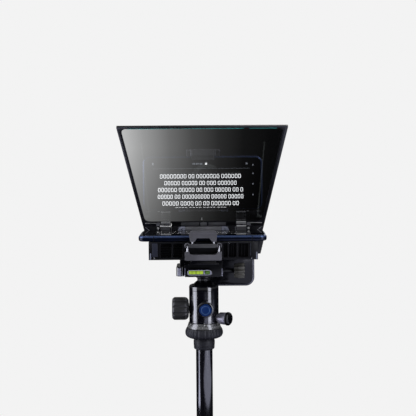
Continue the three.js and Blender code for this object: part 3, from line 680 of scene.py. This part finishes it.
# ---------------------------------------------------------------- housing and deck
def make_housing():
    for name in ("base_housing", "phone_deck", "rear_wall", "side_bracket_left", "side_bracket_right"):
        dress(name, "matt", 0.5)
    dress("front_panel", "panel", 0.5)
    dress("rear_stop", "stop", 0.45)
    for side in ("left", "right"):
        dress(f"hinge_leaf_{side}", "leaf", 0.2)
        dress(f"hinge_pin_{side}", "leaf", 0.2)

    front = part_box("front_panel")[0][1] / MM
    details = Form()
    for x0, x1 in ((-53.6, -40.4), (-37.6, -26.4)):
        for z in (-26.6 + 2.1 * k for k in range(7)):
            details.box(DECK, (x0, front + 2.4, z), (x1, front + 5.9, z + 0.55))
    for x0, x1 in ((25.3, 29.7), (32.3, 40.7), (43.8, 55.7)):
        ribs = 1 + int((x1 - x0) // 4)
        for k in range(1, ribs):
            x = x0 + (x1 - x0) * k / ribs
            details.box(DECK, (x - 0.3, front + 2.6, -27.7), (x + 0.3, front + 5.9, -10.8))
    details.piece("panel_ribs", "prompter", "black_plastic", ["panel"])

    pillars = Form()
    # The narrow bars at the panel's two ends (mark 1) are painted highlights: pale bluish bars where the lamps
    # catch the edges.
    for x0, x1, z0, z1, mark in ((-64.2, -57.2, -27, -10, 0), (-67, -65.6, -30.6, -22.5, 1),
                                 (58.9, 59.6, -26, -10, 0), (66.2, 67.8, -30.4, -21.5, 1)):
        pillars.slab(STANDING, rounded(x0, x1, z0, z1, 0.3, 4), round_edge(front - 0.55, front + 0.3, 0.2, 3),
                mark)
    pillars.piece("panel_pillars", "prompter", "black_plastic", ["pillar", "pad"])

    screws = Form()
    for x, z in ((33.2, -9.3), (-61, -29), (61, -29)):
        screw(screws, axis(at(x, front, z), SPEAKER), 0.9, 0.5)
    for side in (-1, 1):
        screw(screws, axis(at(side * 60, 19.6, 2.3), SPEAKER), 1.45, 0.9, mark=2, socket=2)
        for y in (22.6, 26):
            for x in (45.7, 55.3):
                screw(screws, axis(at(side * x, y, 4.9), UP), 1.0, 0.25)
    screws.piece("housing_screws", "prompter", "chrome", ["chrome", "panel", "bright"])

    under = Form()
    for x in (-58, 58):
        for y in (-40, 24):
            screw(under, axis(at(x, y, -31), (0, 0, -1)), 2.4, 0.3)
    under.piece("bottom_screws", "prompter", "steel", ["steel", "panel"])
    grips = Form()
    for y in (-38, -22, -6, 10):
        grips.slab(DECK, rounded(-58, 58, y - 2, y + 2, 1.6, 5), round_edge(-8.3, -7.86, 0.2, 3))
    grips.piece("deck_grip_strips", "prompter", "rubber", ["rubber"])


def make_deck_back():
    """What stands along the back edge of the deck: corner ribs, the hinges' plates and the stop's bumpers."""
    brackets = Form()
    for side in (-1, 1):
        low, high = Vector((71.6, -0.4)), Vector((77.3, 4.3))
        run = high - low
        turn = Matrix.Rotation(-math.atan2(run.y, run.x), 4, "Y")
        bar = Matrix.Scale(side, 4, RIGHT) @ Matrix.Translation((low.x, 19.3, low.y)) @ turn
        brackets.box(DECK @ bar, (0, -0.7, -0.4), (run.length, 0.6, 0.4))
        for x, half in ((32.2, 0.5), (42.6, 0.3)):
            brackets.box(DECK, (side * x - half, 19.2, -0.5), (side * x + half, 19.9, 4.8))
    brackets.piece("corner_ribs", "prompter", "grey_plastic", ["stop"], bevel=0.15)
    hinges = Form()
    for side in (-1, 1):
        x0, x1 = sorted((side * 44.1, side * 56.9))
        hinges.slab(STANDING, rounded(x0, x1, -0.5, 4.2, 0.3, 3), [(0.2, 19.1), (0, 19.3), (0, 19.8)])
        # The pale strip above each plate is the hinge knuckle, drawn flat with a painted highlight.
        hinges.slab(STANDING, rounded(x0, x1, 4.5, 5.9, 0.4, 3), [(0.25, 18.9), (0, 19.15), (0, 20.6)], 1)
    hinges.piece("hinge_front_plates", "prompter", "steel", ["leaf", "bright"])
    for side, name in ((-1, "left"), (1, "right")):
        pad = Form().slab(STANDING, stop_pad_outline(side), [(0.5, 17.4), (0, 17.9), (0, 19.28)])
        for tip in (-1, 1):
            low, high = Vector((side * 27.2, 1.2 - 1.6 * tip)), Vector((side * 29.6, 1.2))
            run = high - low
            lay = Matrix.Translation((low.x, 0, low.y)) @ Matrix.Rotation(-math.atan2(run.y, run.x), 4, "Y")
            pad.box(DECK @ lay, (0, 17.2, -0.25), (run.length, 17.6, 0.25), 1)
        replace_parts(pad.piece(f"stop_bumper_{name}", "prompter", "rubber", ["pad", "dusk"]),
                f"stop_pad_{name}")


def stop_pad_outline(side):
    """The outer end of the rear stop, with its upper corner cut round."""
    def outline(inset=0.0):
        inner, outer, low, high, r = 24.0 + inset, 33.5 - inset, -7.9 + inset, 4.7 - inset, 4.6 - inset
        points = [(outer, low), (outer, high - r)]
        points += [(outer - r + r * math.cos(a), high - r + r * math.sin(a)) for a in (math.pi / 2 * k / 8
                for k in range(1, 9))]
        points.append((inner, high))
        points.append((inner, low))
        return [(side * x, z) for x, z in points]
    return outline


# ---------------------------------------------------------------- phone clip
def mirrored(half):
    """A closed outline from the corners (x, z, rounding) of its right half, listed towards the left half."""
    return half + [(-x, z, r) for x, z, r in reversed(half)]


def soft_corners(corners, steps=5):
    """An outline whose corners (x, y, reach) are rounded with curves that start that far from each corner."""
    loop = []
    for i, (x, y, reach) in enumerate(corners):
        corner = Vector((x, y))
        before, after = Vector(corners[i - 1][:2]), Vector(corners[(i + 1) % len(corners)][:2])
        start = corner + (before - corner).normalized() * reach
        end = corner + (after - corner).normalized() * reach
        for k in range(steps + 1):
            t = k / steps
            loop.append(tuple(start * (1 - t) ** 2 + corner * 2 * t * (1 - t) + end * t ** 2))
    return loop


def make_clip():
    half = [(23, -30.8, 1.2), (23, -19.9, 1.6), (17.9, -19.9, 0.6), (16.6, -23.8, 3)]
    socket = Form().prism(STANDING, soft_corners(mirrored(half)), -64.4, -54.4)
    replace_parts(socket.piece("clip_cradle", "phone_clip", "grey_plastic", ["grey"], 0.6, 3), "clip_socket")
    half = [(16.2, -7.4, 0.8), (17.4, 2, 1.5), (15.4, 6.2, 2.2)]
    low_half = [(8, -3, 1.5), (10.6, -7.4, 0.8)]
    jaw = Form().prism(STANDING, soft_corners(mirrored(low_half + half)), -64.4, -55.6)
    jaw.slab(DECK, rounded(-15.2, 15.2, -57, -50, 1.0, 4), round_edge(0.6, 3.6, 0.8, 3))
    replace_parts(jaw.piece("clip_grip", "clip_arm", "grey_plastic", ["grey"], 0.6, 3), "clip_jaw")
    dress("clip_arm", "leaf", 0.8, 3)
    dress("clip_tongue", "steel", 0.2)
    for side in ("left", "right"):
        low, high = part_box(f"clip_rod_{side}")
        x, y = centre(f"clip_rod_{side}").x, centre(f"clip_rod_{side}").y
        eye_z = high[2] - 3.2 * MM
        foot = upright((x, y, low[2]))
        reach = (eye_z - low[2]) / MM
        rod = Form().lathe(foot, [(0, 0), (1.0, 0), (1.15, 0.2), (1.15, reach - 1.2), (0.8, reach - 0.5),
                (0, reach - 0.3)], 32)
        rod.hook(upright((x, y - 1.4 * MM, eye_z)), 2.9, 0.72, -50, 230, mark=1)
        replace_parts(rod.piece(f"clip_link_{side}", "phone_clip", "chrome", ["chrome", "grey"]),
                f"clip_rod_{side}")
        low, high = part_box(f"clip_pin_{side}")
        middle = centre(f"clip_pin_{side}")
        reach = (high[2] - low[2]) / MM
        pin = Form().lathe(upright((middle.x, middle.y, low[2])),
                [(0, 0), (0.85, 0), (1, 0.15), (1, reach - 0.15), (0.85, reach), (0, reach)], 32)
        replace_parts(pin.piece(f"jaw_pin_{side}", "clip_arm", "chrome", ["chrome"]), f"clip_pin_{side}")
    pad = Form().slab(DECK, rounded(-14.6, 14.6, -55.4, -50.4, 0.8, 4), round_edge(0.14, 0.62, 0.2, 3))
    pad.piece("clip_lip_pad", "clip_arm", "rubber", ["rubber"])
    groove = Form()
    groove.slab(STANDING, rounded(-12.8, 12.8, 1.2, 4.6, 1.2, 5), round_edge(-64.85, -64.3, 0.25, 3))
    groove.piece("clip_jaw_plate", "clip_arm", "grey_plastic", ["grey"])


# ---------------------------------------------------------------- the phone that shows the script
def glyph_blocks(words, middle, y0, y1, pitch, width, space):
    """Boxes that stand for a centred row of words, given by how many letters each has."""
    total = sum(words) * pitch - len(words) * (pitch - width) + (len(words) - 1) * space
    x = middle - total / 2
    blocks = []
    for letters in words:
        for _ in range(letters):
            blocks.append((x, x + width, y0, y1))
            x += pitch
        x += space - (pitch - width)
    return blocks


def screen_with_windows(name, body, slot, outline, z_top, depth, windows, place, replaced):
    """A screen whose lit marks lie at the bottom of shallow windows, so that they show from above only.

    The tall marks are hollow in the middle."""
    plate = Form().slab(place, outline, [(0, z_top - depth - 0.1), (0, z_top - 0.12), (0.12, z_top)])
    obj = plate.piece(name, None, slot, ["screen", "script", "dim"], smooth=False)
    cutters = Form()
    for (x0, x1, y0, y1), mark in windows:
        if y1 - y0 > 4:
            outer, inner = rounded(x0, x1, y0, y1, 1.0, 2), rounded(x0 + 0.8, x1 - 0.8, y0 + 0.8, y1 - 0.8,
                    0.5, 2)
            loops = [[(x, y, z) for x, y in ring()] for ring, z in ((outer, z_top - depth),
                    (outer, z_top + 1), (inner, z_top + 1), (inner, z_top - depth))]
            cutters.stack(place, loops, mark, ring=True)
        else:
            cutters.box(place, (x0, y0, z_top - depth), (x1, y1, z_top + 1), mark)
    tool = cutters.piece(name + "_windows", None, slot, ["screen", "script", "dim"], smooth=False)
    boolean = obj.modifiers.new("windows", "BOOLEAN")
    boolean.operation = "DIFFERENCE"
    boolean.solver = "EXACT"
    boolean.object = tool
    evaluated = obj.evaluated_get(bpy.context.evaluated_depsgraph_get())
    cut = bpy.data.meshes.new_from_object(evaluated)
    obj.modifiers.clear()
    obj.data = cut
    up = (place.to_3x3() @ Vector(UP)).normalized()
    floor = (place @ Vector((0, 0, z_top - depth * 0.5))).dot(up)
    for face in cut.polygons:
        lit = face.normal.dot(up) > 0.9 and face.center.dot(up) < floor
        if not lit:
            face.material_index = 0
    bpy.data.objects.remove(tool)
    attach(obj, body)
    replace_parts(obj, replaced)
    return obj


def make_display_phone():
    outline = rounded(-81.5, 80, -55, 17, 9, 10)
    layers = round_edge(-7.8, -0.35, 2.6, 8)
    body = Form().slab(DECK, outline, layers + [(2.9, -0.35), (2.9, -0.69)])
    # The case's top 3.1 mm is a lighter blue: a painted highlight along the upper edge.
    for i, face in enumerate(body.faces):
        if min(body.points[k].z for k in face) > PHONE_TOP - 3.1 * MM:
            body.marks[i] = 1
    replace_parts(body.piece("display_phone_case", "display_phone", "blue_anodised",
            ["phone_blue", "phone_top_painted_highlight"], sharp=50), "display_phone_body")
    glass = rounded(-79.3, 77.8, -53.0, 15.3, 7.0, 10)
    middle = -3.6
    rows = [((8, 2, 7, 6), 1.05), ((5, 5, 2, 3, 6), 1.0), ((6, 5, 2, 3, 5, 2, 1), 1.01),
            ((5, 2, 9, 5, 5), 0.967), ((5, 4, 2, 2, 6, 2), 1.05)]
    first, row_pitch, tall = -28.2, 9.15, 5.6
    pitch, wide, space = 4.35, 3.45, 2.6
    windows = []
    for k, (words, size) in enumerate(rows):
        y0 = first + k * row_pitch - tall / 2
        windows += [(b, 1) for b in glyph_blocks(words, middle, y0, y0 + tall, pitch * size, wide * size,
                space)]
    windows += [(b, 1) for b in glyph_blocks((4, 4, 4, 3), middle, 13.6, 14.95, pitch, 3.2, space)]
    windows += [(b, 2) for b in glyph_blocks((2, 2, 2), -7.6, -46, -43.8, 2.1, 1.6, 1.1)]
    windows += [((2.9, 5.5, -46.2, -43.6), 1)]
    windows += [((-68.6, -66.6, -46.6, -43.2), 2), ((57.4, 60, -46, -43.8), 2)]
    windows += [((66.4, 68, y - 0.9, y + 0.9), 2) for y in (-43, -31.5, -17.5, -3)]
    windows += [((-68, 62.5, -38.7, -38.45), 2)]
    screen_with_windows("display_phone_glass", "display_phone", "screen_glass", glass, 0, 0.47, windows, DECK,
            "display_phone_screen")
    for key in ("power", "volume"):
        dress(f"display_phone_{key}_key", "phone_blue", 0.2)
    seams = Form()
    for x in (-62, 62):
        seams.box(DECK, (x - 0.5, -55.02, -7.0), (x + 0.5, -54.6, -1.0))
    seams.box(DECK, (-4.5, -55.02, -4.6), (4.5, -54.4, -2.6))
    seams.piece("display_phone_seams", "display_phone", "rubber", ["panel"])


# ---------------------------------------------------------------- glass frame
FRAME_FRONT = -1.2


def half_width(z):
    """Half the frame's width at a height along the glass."""
    return 81.7 + 0.1193 * z


def make_glass():
    dress("glass_frame", "satin", 0.6, 3)
    dress("glass_retainer", "plastic", 0.3)
    dress("beam_splitter", "splitter", 0)
    edge = Form()
    low, high = 178.3, 179.15
    for x0, x1 in ((-half_width(high) + 12, 50), (57, half_width(high) - 13)):
        edge.box(GLASS, (x0, -0.9, low), (x1, 0.25, high))
    edge.piece("glass_top_edge", "glass_frame", "beam_splitter_glass", ["teal"])
    rail = Form()
    face = FRAME_FRONT
    plate = [(0.3, face - 0.35), (0, face - 0.05), (0, face + 0.2)]
    for x0, x1, mark in ((-30, -5.8, 0), (-4.3, 4.6, 1), (6.6, 30, 0)):
        rail.slab(IN_FRAME, rounded(x0, x1, -4.6, 4.4, 0.5, 3), plate, mark)
    for side in (-1, 1):
        x0, x1 = sorted((side * 44, side * 57))
        rail.slab(IN_FRAME, rounded(x0, x1, -3.6, 6.6, 0.4, 3),
                [(0.3, face - 0.6), (0, face - 0.3), (0, face + 0.2)], 2)
        for z in (-0.6, 1.9, 4.4):
            rail.box(IN_FRAME, (x0 + 0.4, z - 0.2, face - 0.75), (x1 - 0.4, z + 0.2, face - 0.5), 0)
        x0, x1 = sorted((side * 58.2, side * 63.5))
        rail.slab(IN_FRAME, rounded(x0, x1, -4.6, 4.4, 1.2, 4), plate, 1)
        x0, x1 = sorted((side * 63, side * 78.5))
        rail.slab(IN_FRAME, rounded(x0, x1, 3.0, 4.1, 0.5, 3),
                [(0.2, face - 0.4), (0, face - 0.2), (0, face + 0.2)], 3)
    # The rail and hinge plates' greys are partly their own colour and partly painted light: lightened because
    # this bar faces down, away from the lamps.
    rail.piece("frame_rail_plates", "glass_frame", "grey_plastic", ["rail_dark", "rail", "hinge", "hinge"])
    tick = Form().prism(IN_FRAME, [(-3.2, 8.4), (-1, 8.4), (-1.8, 12.6), (-2.4, 12.6)], -0.35, 0.28)
    tick.piece("frame_centre_tick", "glass_frame", "steel", ["bright"])
    screws = Form()
    for side in (-1, 1):
        for z in (20, 75, 130, 172):
            x = side * (half_width(z) - 2.2)
            screw(screws, GLASS @ Matrix.Translation((x, 3.2, z)) @ Matrix.Rotation(-math.pi / 2, 4, "X"),
                    1.1, 0.22)
    screws.piece("frame_screws", "glass_frame", "steel", ["steel", "panel"])


# ---------------------------------------------------------------- hood
FRAME_BACK = 3.6
PANEL_FRONT = centre("rear_panel").y / MM - 1.5
HOOD_FOOT, HOOD_TOP = 12.0, 178.6
PANEL_TOP = (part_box("rear_panel")[1][2] - PHONE_TOP) / MM - 1.0
# What share of the way round the hood each side takes, and its top.
SIDE_SHARE, TOP_SHARE = 0.34, 0.32
RIPPLE_PHASE = 0.8


def hood_edges(s):
    """Points on the hood's front and back edges. s runs up the left side, over the top and down the right."""
    front_foot = GLASS @ Vector((0, FRAME_BACK, HOOD_FOOT))
    front_top = GLASS @ Vector((0, FRAME_BACK, HOOD_TOP))
    back_foot = at(0, PANEL_FRONT, (front_foot.z - PHONE_TOP) / MM + 1)
    back_top = at(0, PANEL_FRONT, PANEL_TOP)
    if s < SIDE_SHARE:
        rise, across = s / SIDE_SHARE, -1.0
    elif s < SIDE_SHARE + TOP_SHARE:
        rise, across = 1.0, -1 + 2 * (s - SIDE_SHARE) / TOP_SHARE
    else:
        rise, across = 1 - (s - SIDE_SHARE - TOP_SHARE) / SIDE_SHARE, 1.0
    points = []
    for foot, top, low, high in ((front_foot, front_top, half_width(HOOD_FOOT) - 2, half_width(HOOD_TOP) - 2),
                                 (back_foot, back_top, 74.5, 84.0)):
        point = foot.lerp(top, rise)
        points.append(Vector((across * (low + (high - low) * rise) * MM, point.y, point.z)))
    return points


def hood_point(s, t):
    """A point on the cloth, t of the way from its front edge to its back edge. It sags and ripples a little."""
    front, back = hood_edges(s)
    point = front.lerp(back, t)
    span = (back - front).length
    slack = math.sin(math.pi * t)
    on_top = 1.0 if abs(s - 0.5) < TOP_SHARE / 2 else 0.0
    on_side = 1 - on_top
    across = point.x / MM / 90
    point.z -= on_top * slack * (0.0045 * (1 - across ** 4) + 0.001)
    inward = 0.030 * span * slack * math.sin(math.pi * min(1, max(0, min(s, 1 - s) / SIDE_SHARE)))
    point.x -= math.copysign(on_side * inward, point.x)
    ripple = 0.0007 * slack * math.sin(7 * math.pi * s + RIPPLE_PHASE) * math.sin(3.1 * math.pi * t + 1.7 * s)
    point.z += on_top * ripple
    point.x += on_side * ripple
    return point


def make_hood():
    dress("rear_panel", "plastic", 0.4)
    across, deep = 168, 26
    grid = [[hood_point(i / across, j / deep) for j in range(deep + 1)] for i in range(across + 1)]
    faces = []
    for i in range(across):
        for j in range(deep):
            a = i * (deep + 1) + j
            faces.append((a, a + 1, a + deep + 2, a + deep + 1))
    mesh = bpy.data.meshes.new("hood_cloth")
    mesh.from_pydata([tuple(p) for row in grid for p in row], [], faces)
    mesh.materials.append(MATERIALS["fabric"])
    mesh.shade_smooth()
    obj = bpy.data.objects.new("hood_cloth", mesh)
    bpy.context.scene.collection.objects.link(obj)
    thick = obj.modifiers.new("thickness", "SOLIDIFY")
    thick.thickness = 0.0007
    thick.offset = 0
    flatten(obj)
    fan(obj)
    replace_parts(obj, "hood")

    trims = [hood_strip("hood_front_binding", 0.0, 0.05), hood_strip("hood_back_binding", 1.0, -0.05),
            hood_stitches("hood_front_stitching", 0.055), hood_stitches("hood_back_stitching", 0.945)]


def flatten(obj):
    """Applies what the modifiers do to the mesh."""
    evaluated = obj.evaluated_get(bpy.context.evaluated_depsgraph_get())
    mesh = bpy.data.meshes.new_from_object(evaluated)
    obj.modifiers.clear()
    obj.data = mesh


def fan(obj):
    """Bakes a hood piece's placement into its mesh."""
    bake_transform(obj)


def hood_strip(name, share, width):
    """A folded tape sewn along one edge of the hood."""
    steps, half_thick, widest = 240, 0.0006, 0.006
    loops = []
    for i in range(steps + 1):
        s = i / steps
        edge = hood_point(s, share)
        inner = hood_point(s, share + width)
        away = (inner - edge).normalized()
        ahead = hood_point(min(1, s + 0.004), share) - hood_point(max(0, s - 0.004), share)
        out = ahead.normalized().cross(away)
        if out.dot(edge - at(0, 0, 60)) < 0:
            out = -out
        far = edge + away * min((inner - edge).length, widest)
        lift = out * half_thick
        loops.append([tuple(c) for c in (edge - lift, far - lift, far + lift, edge + lift)])
    obj = Form().stack(Matrix.Identity(4), loops).piece(name, None, "hood_fabric", ["binding"], sharp=60)
    fan(obj)
    return obj


def hood_stitches(name, t):
    """A row of short stitches along the tape."""
    form = Form()
    steps = 150
    for i in range(1, steps):
        a, b = hood_point((i - 0.3) / steps, t), hood_point((i + 0.3) / steps, t)
        run = b - a
        out = (a - at(0, 0, 60)).normalized()
        across = run.cross(out).normalized() * 0.00022
        rise = run.cross(across).normalized() * 0.0009
        if rise.dot(out) < 0:
            rise = -rise
        low = [p - rise * 0.6 for p in (a - across, b - across, b + across, a + across)]
        form.stack(Matrix.Identity(4), [[tuple(p) for p in low], [tuple(p + rise * 1.5) for p in low]])
    obj = form.piece(name, None, "hood_fabric", ["thread"])
    fan(obj)
    return obj


def make_lens_sleeve():
    low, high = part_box("lens_sleeve")
    middle = centre("lens_sleeve")
    start, end = low[1] / MM, high[1] / MM
    folds = 5
    crests = [start + 1.5 + (end - start - 3) * k / folds for k in range(folds)]
    valleys = [start + 1.5 + (end - start - 3) * (k + 0.5) / folds for k in range(folds)]
    profile = [(20.6, start), (23.9, start)]
    for crest, valley in zip(crests, valleys):
        profile += [(23.8, crest), (22.0, valley)]
    profile += [(23.8, end - 1.5), (23.9, end - 0.3), (23.6, end), (20.9, end), (20.6, end - 0.3)]
    profile += [(20.8, valley) for valley in reversed(valleys)]
    sleeve = Form().lathe(axis(Vector((middle.x, 0, middle.z)), BACK), profile, 96, ring=True)
    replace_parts(sleeve.piece("lens_bellows", "hood_panel", "rubber", ["rubber"], sharp=60), "lens_sleeve")


# ---------------------------------------------------------------- rear bracket and filming phone
def make_rear():
    dress("rear_bracket", "plastic", 0.6)
    dress("rear_fixed_jaw", "rubber", 0.8, 3)
    dress("rear_jaw", "matt", 0.9, 3)
    place = centre("bracket_knob")
    back = axis(Vector((place.x, 0, place.z)), BACK)
    profile = [(0, 27), (2.8, 27), (2.8, 34.7), (7.3, 34.7), (7.9, 35.2), (8, 36), (8, 43.8), (7.6, 44.6),
            (6.9, 45), (5.4, 45), (5, 44.6), (0, 44.5)]
    knob = Form().lathe(back, profile, 160, wave=flutes(16, 0.7, 35.4, 44.2, 1.8))
    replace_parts(knob.piece("bracket_wheel", "bracket_knob", "black_plastic", ["plastic"], sharp=30),
            "bracket_knob")
    ribs = Form()
    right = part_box("rear_jaw")[1][0] / MM
    for k in range(6):
        z = -11 - 4 * k
        # Below -20 mm the jaw's outer side slopes inwards.
        reach = right if z > -20 else right - (-20 - z) * 4 / 16.5
        ribs.slab(DECK, rounded(reach - 2.0, reach + 0.35, 58.5, 76, 1.0, 4),
                round_edge(z - 0.7, z + 0.7, 0.4, 3))
    ribs.piece("rear_jaw_ribs", "rear_jaw", "black_plastic", ["plastic"])


def make_camera_phone():
    low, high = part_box("camera_phone_body")
    x0, x1 = low[0] / MM, high[0] / MM
    front, back = low[1] / MM, high[1] / MM
    z0, z1 = (low[2] - PHONE_TOP) / MM, (high[2] - PHONE_TOP) / MM
    case = Form().slab(STANDING, rounded(x0, x1, z0, z1, 12, 12), round_edge(front, back, 2.4, 6))
    screen = rounded(x0 + 2.1, x1 - 2.1, z0 + 2.1, z1 - 2.1, 10, 12)
    case.slab(STANDING, screen, [(0.15, front - 0.06), (0, front + 0.1)], 1)
    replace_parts(case.piece("camera_phone_case", "camera_phone", "phone_metal", ["phone_dark", "phone_back"],
            sharp=50), "camera_phone_body")
    shown = Form().slab(STANDING, screen, [(0.1, back - 0.05), (0, back + 0.5), (0.25, back + 0.85)])
    left, right, low, top = x0 + 4, x1 - 4, z0 + 24, z1 - 12
    shown.slab(STANDING, rounded(left, right, low, top, 1.5, 5), [(0, back + 0.6), (0, back + 0.88)], 1)
    button = axis(at((x0 + x1) / 2, 0, z0 + 14), BACK)
    shown.lathe(button, [(6, back + 0.8), (6, back + 0.9), (5.2, back + 0.9), (5.2, back + 0.86)], 48, mark=3)
    shown.lathe(button, [(4.4, back + 0.8), (4.4, back + 0.93), (0, back + 0.94)], 48, mark=2)
    for x in (left + (right - left) * k / 3 for k in (1, 2)):
        shown.box(STANDING, (x - 0.12, low, back + 0.8), (x + 0.12, top, back + 0.9), 3)
    for z in (low + (top - low) * k / 3 for k in (1, 2)):
        shown.box(STANDING, (left, z - 0.12, back + 0.8), (right, z + 0.12, back + 0.9), 3)
    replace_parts(shown.piece("camera_phone_glass", "camera_phone", "screen_glass",
            ["screen", "live", "record", "dim"], sharp=50), "camera_phone_screen")
    low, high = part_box("camera_phone_camera")
    a0, a1 = low[0] / MM, high[0] / MM
    b0, b1 = (low[2] - PHONE_TOP) / MM, (high[2] - PHONE_TOP) / MM
    island = Form().slab(STANDING, rounded(a0, a1, b0, b1, 6.5, 8),
            round_edge(front - 1.1, front + 0.1, 0.5, 3))
    spots = [(a0 + 8.2, b1 - 8.2, 5.6), (a0 + 8.2, b0 + 8.2, 5.0), (a1 - 8.2, (b0 + b1) / 2, 4.8)]
    for x, z, r in spots:
        spot = axis(at(x, front, z), SPEAKER)
        island.lathe(spot, [(r, 1), (r, 1.25), (r - 0.25, 1.38), (r - 0.9, 1.38), (r - 1, 1.2)], 48, mark=1)
        island.lathe(spot, [(r - 0.9, 1), (r - 0.95, 1.22), (r * 0.5, 1.3), (0, 1.32)], 48, mark=2)
        island.lathe(spot, [(r * 0.36, 1.3), (r * 0.36, 1.335), (0, 1.34)], 32, mark=3)
    island.lathe(axis(at(a1 - 6, front, b1 - 6), SPEAKER), [(1.6, 1), (1.6, 1.3), (0, 1.34)], 32, mark=4)
    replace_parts(island.piece("camera_island", "camera_phone", "phone_metal",
            ["phone_dark", "steel", "lens", "gloss", "mark"], sharp=50), "camera_phone_camera")
    dress("camera_phone_power_key", "phone_dark", 0.2)


# ---------------------------------------------------------------- stage and light
def aim(obj, target):
    obj.rotation_euler = (Vector(target) - obj.location).to_track_quat("-Z", "Y").to_euler()


def soft_light(name, place, target, width, height, radiance, colour=(1, 1, 1)):
    data = bpy.data.lights.new(name, "AREA")
    data.shape = "RECTANGLE"
    data.size = width
    data.size_y = height
    data.energy = radiance * math.pi * width * height
    data.color = colour
    obj = bpy.data.objects.new(name, data)
    obj.location = place
    bpy.context.scene.collection.objects.link(obj)
    aim(obj, target)
    obj.visible_camera = False
    return obj


def make_stage():
    pale = 0.896
    world = bpy.data.worlds.new("studio")
    bpy.context.scene.world = world
    world.use_nodes = True
    tree = world.node_tree
    background = tree.nodes["Background"]
    path = tree.nodes.new("ShaderNodeLightPath")
    level = node(tree, "ShaderNodeMapRange", To_Min=0.10, To_Max=pale)
    tree.links.new(path.outputs["Is Camera Ray"], level.inputs["Value"])
    tree.links.new(level.outputs["Result"], background.inputs["Strength"])
    background.inputs["Color"].default_value = (1, 1, 1, 1)

    made, tree, shader = nodes_of("floor")
    tree.nodes.remove(shader)
    dark = node(tree, "ShaderNodeBsdfDiffuse", Color=(0.02, 0.02, 0.02, 1))
    even = node(tree, "ShaderNodeEmission", Color=(1, 1, 1, 1))
    # For the camera the floor glows evenly, but darker round the column's foot: a painted contact shadow.
    place = tree.nodes.new("ShaderNodeTexCoord")
    reach = tree.nodes.new("ShaderNodeVectorMath")
    reach.operation = "LENGTH"
    tree.links.new(place.outputs["Object"], reach.inputs[0])
    painted_contact_shadow = node(tree, "ShaderNodeMapRange", From_Min=0.008, From_Max=0.11, To_Min=0.45 * pale, To_Max=pale)
    painted_contact_shadow.interpolation_type = "SMOOTHERSTEP"
    tree.links.new(reach.outputs["Value"], painted_contact_shadow.inputs["Value"])
    tree.links.new(painted_contact_shadow.outputs["Result"], even.inputs["Strength"])
    choose = tree.nodes.new("ShaderNodeMixShader")
    path = tree.nodes.new("ShaderNodeLightPath")
    tree.links.new(path.outputs["Is Camera Ray"], choose.inputs["Fac"])
    tree.links.new(dark.outputs[0], choose.inputs[1])
    tree.links.new(even.outputs[0], choose.inputs[2])
    tree.links.new(choose.outputs[0], tree.nodes["Material Output"].inputs["Surface"])
    bpy.ops.mesh.primitive_circle_add(vertices=96, radius=14, fill_type="NGON", location=(0, 0, 0))
    floor = bpy.context.object
    floor.name = "floor"
    floor.data.materials.append(made)


def make_lights():
    target = at(0, 0, -20)
    lavender = (0.86, 0.88, 1.0)
    middle = Vector((0, 0, 0.6))
    soft_light("left_strip", Vector((-0.60, -0.153, 0.6)), middle, 0.42, 1.2, 2.7, lavender)
    soft_light("right_strip", Vector((0.44, -0.44, 0.6)), middle, 0.25, 1.2, 3.0, lavender)
    soft_light("overhead", Vector((0, -0.35, 1.6)), target, 1.3, 0.8, 1.0)
    soft_light("rear_rim", Vector((0.5, 1.3, 0.9)), target, 0.8, 0.8, 2.0)
    # Low lights that lie on the floor give the column its two bands.
    low_lights = (("floor_left", 194, 0.16, 1.3, 0.10, 3.0), ("floor_right_near", -42, 0.16, 0.5, 0.6, 0.9),
            ("floor_right_far", -42, 0.5, 0.9, 1.2, 0.75))
    for name, azimuth, near, far, width, radiance in low_lights:
        turn = math.radians(azimuth)
        out = Vector((math.cos(turn), math.sin(turn), 0))
        place = out * (near + far) / 2
        light = soft_light(name, place, place + Vector((0, 0, 1)), far - near, width, radiance,
                (0.76, 0.78, 1.0))
        light.location.z = 0.002
        light.rotation_euler = (math.pi, 0, turn)


make_column()
make_head()
make_head_knobs()
make_clamp()
make_level()
make_clamp_details()
make_housing()
make_deck_back()
make_clip()
make_display_phone()
make_glass()
make_hood()
make_lens_sleeve()
make_rear()
make_camera_phone()
make_stage()
make_lights()
bpy.context.scene.view_settings.view_transform = "Standard"
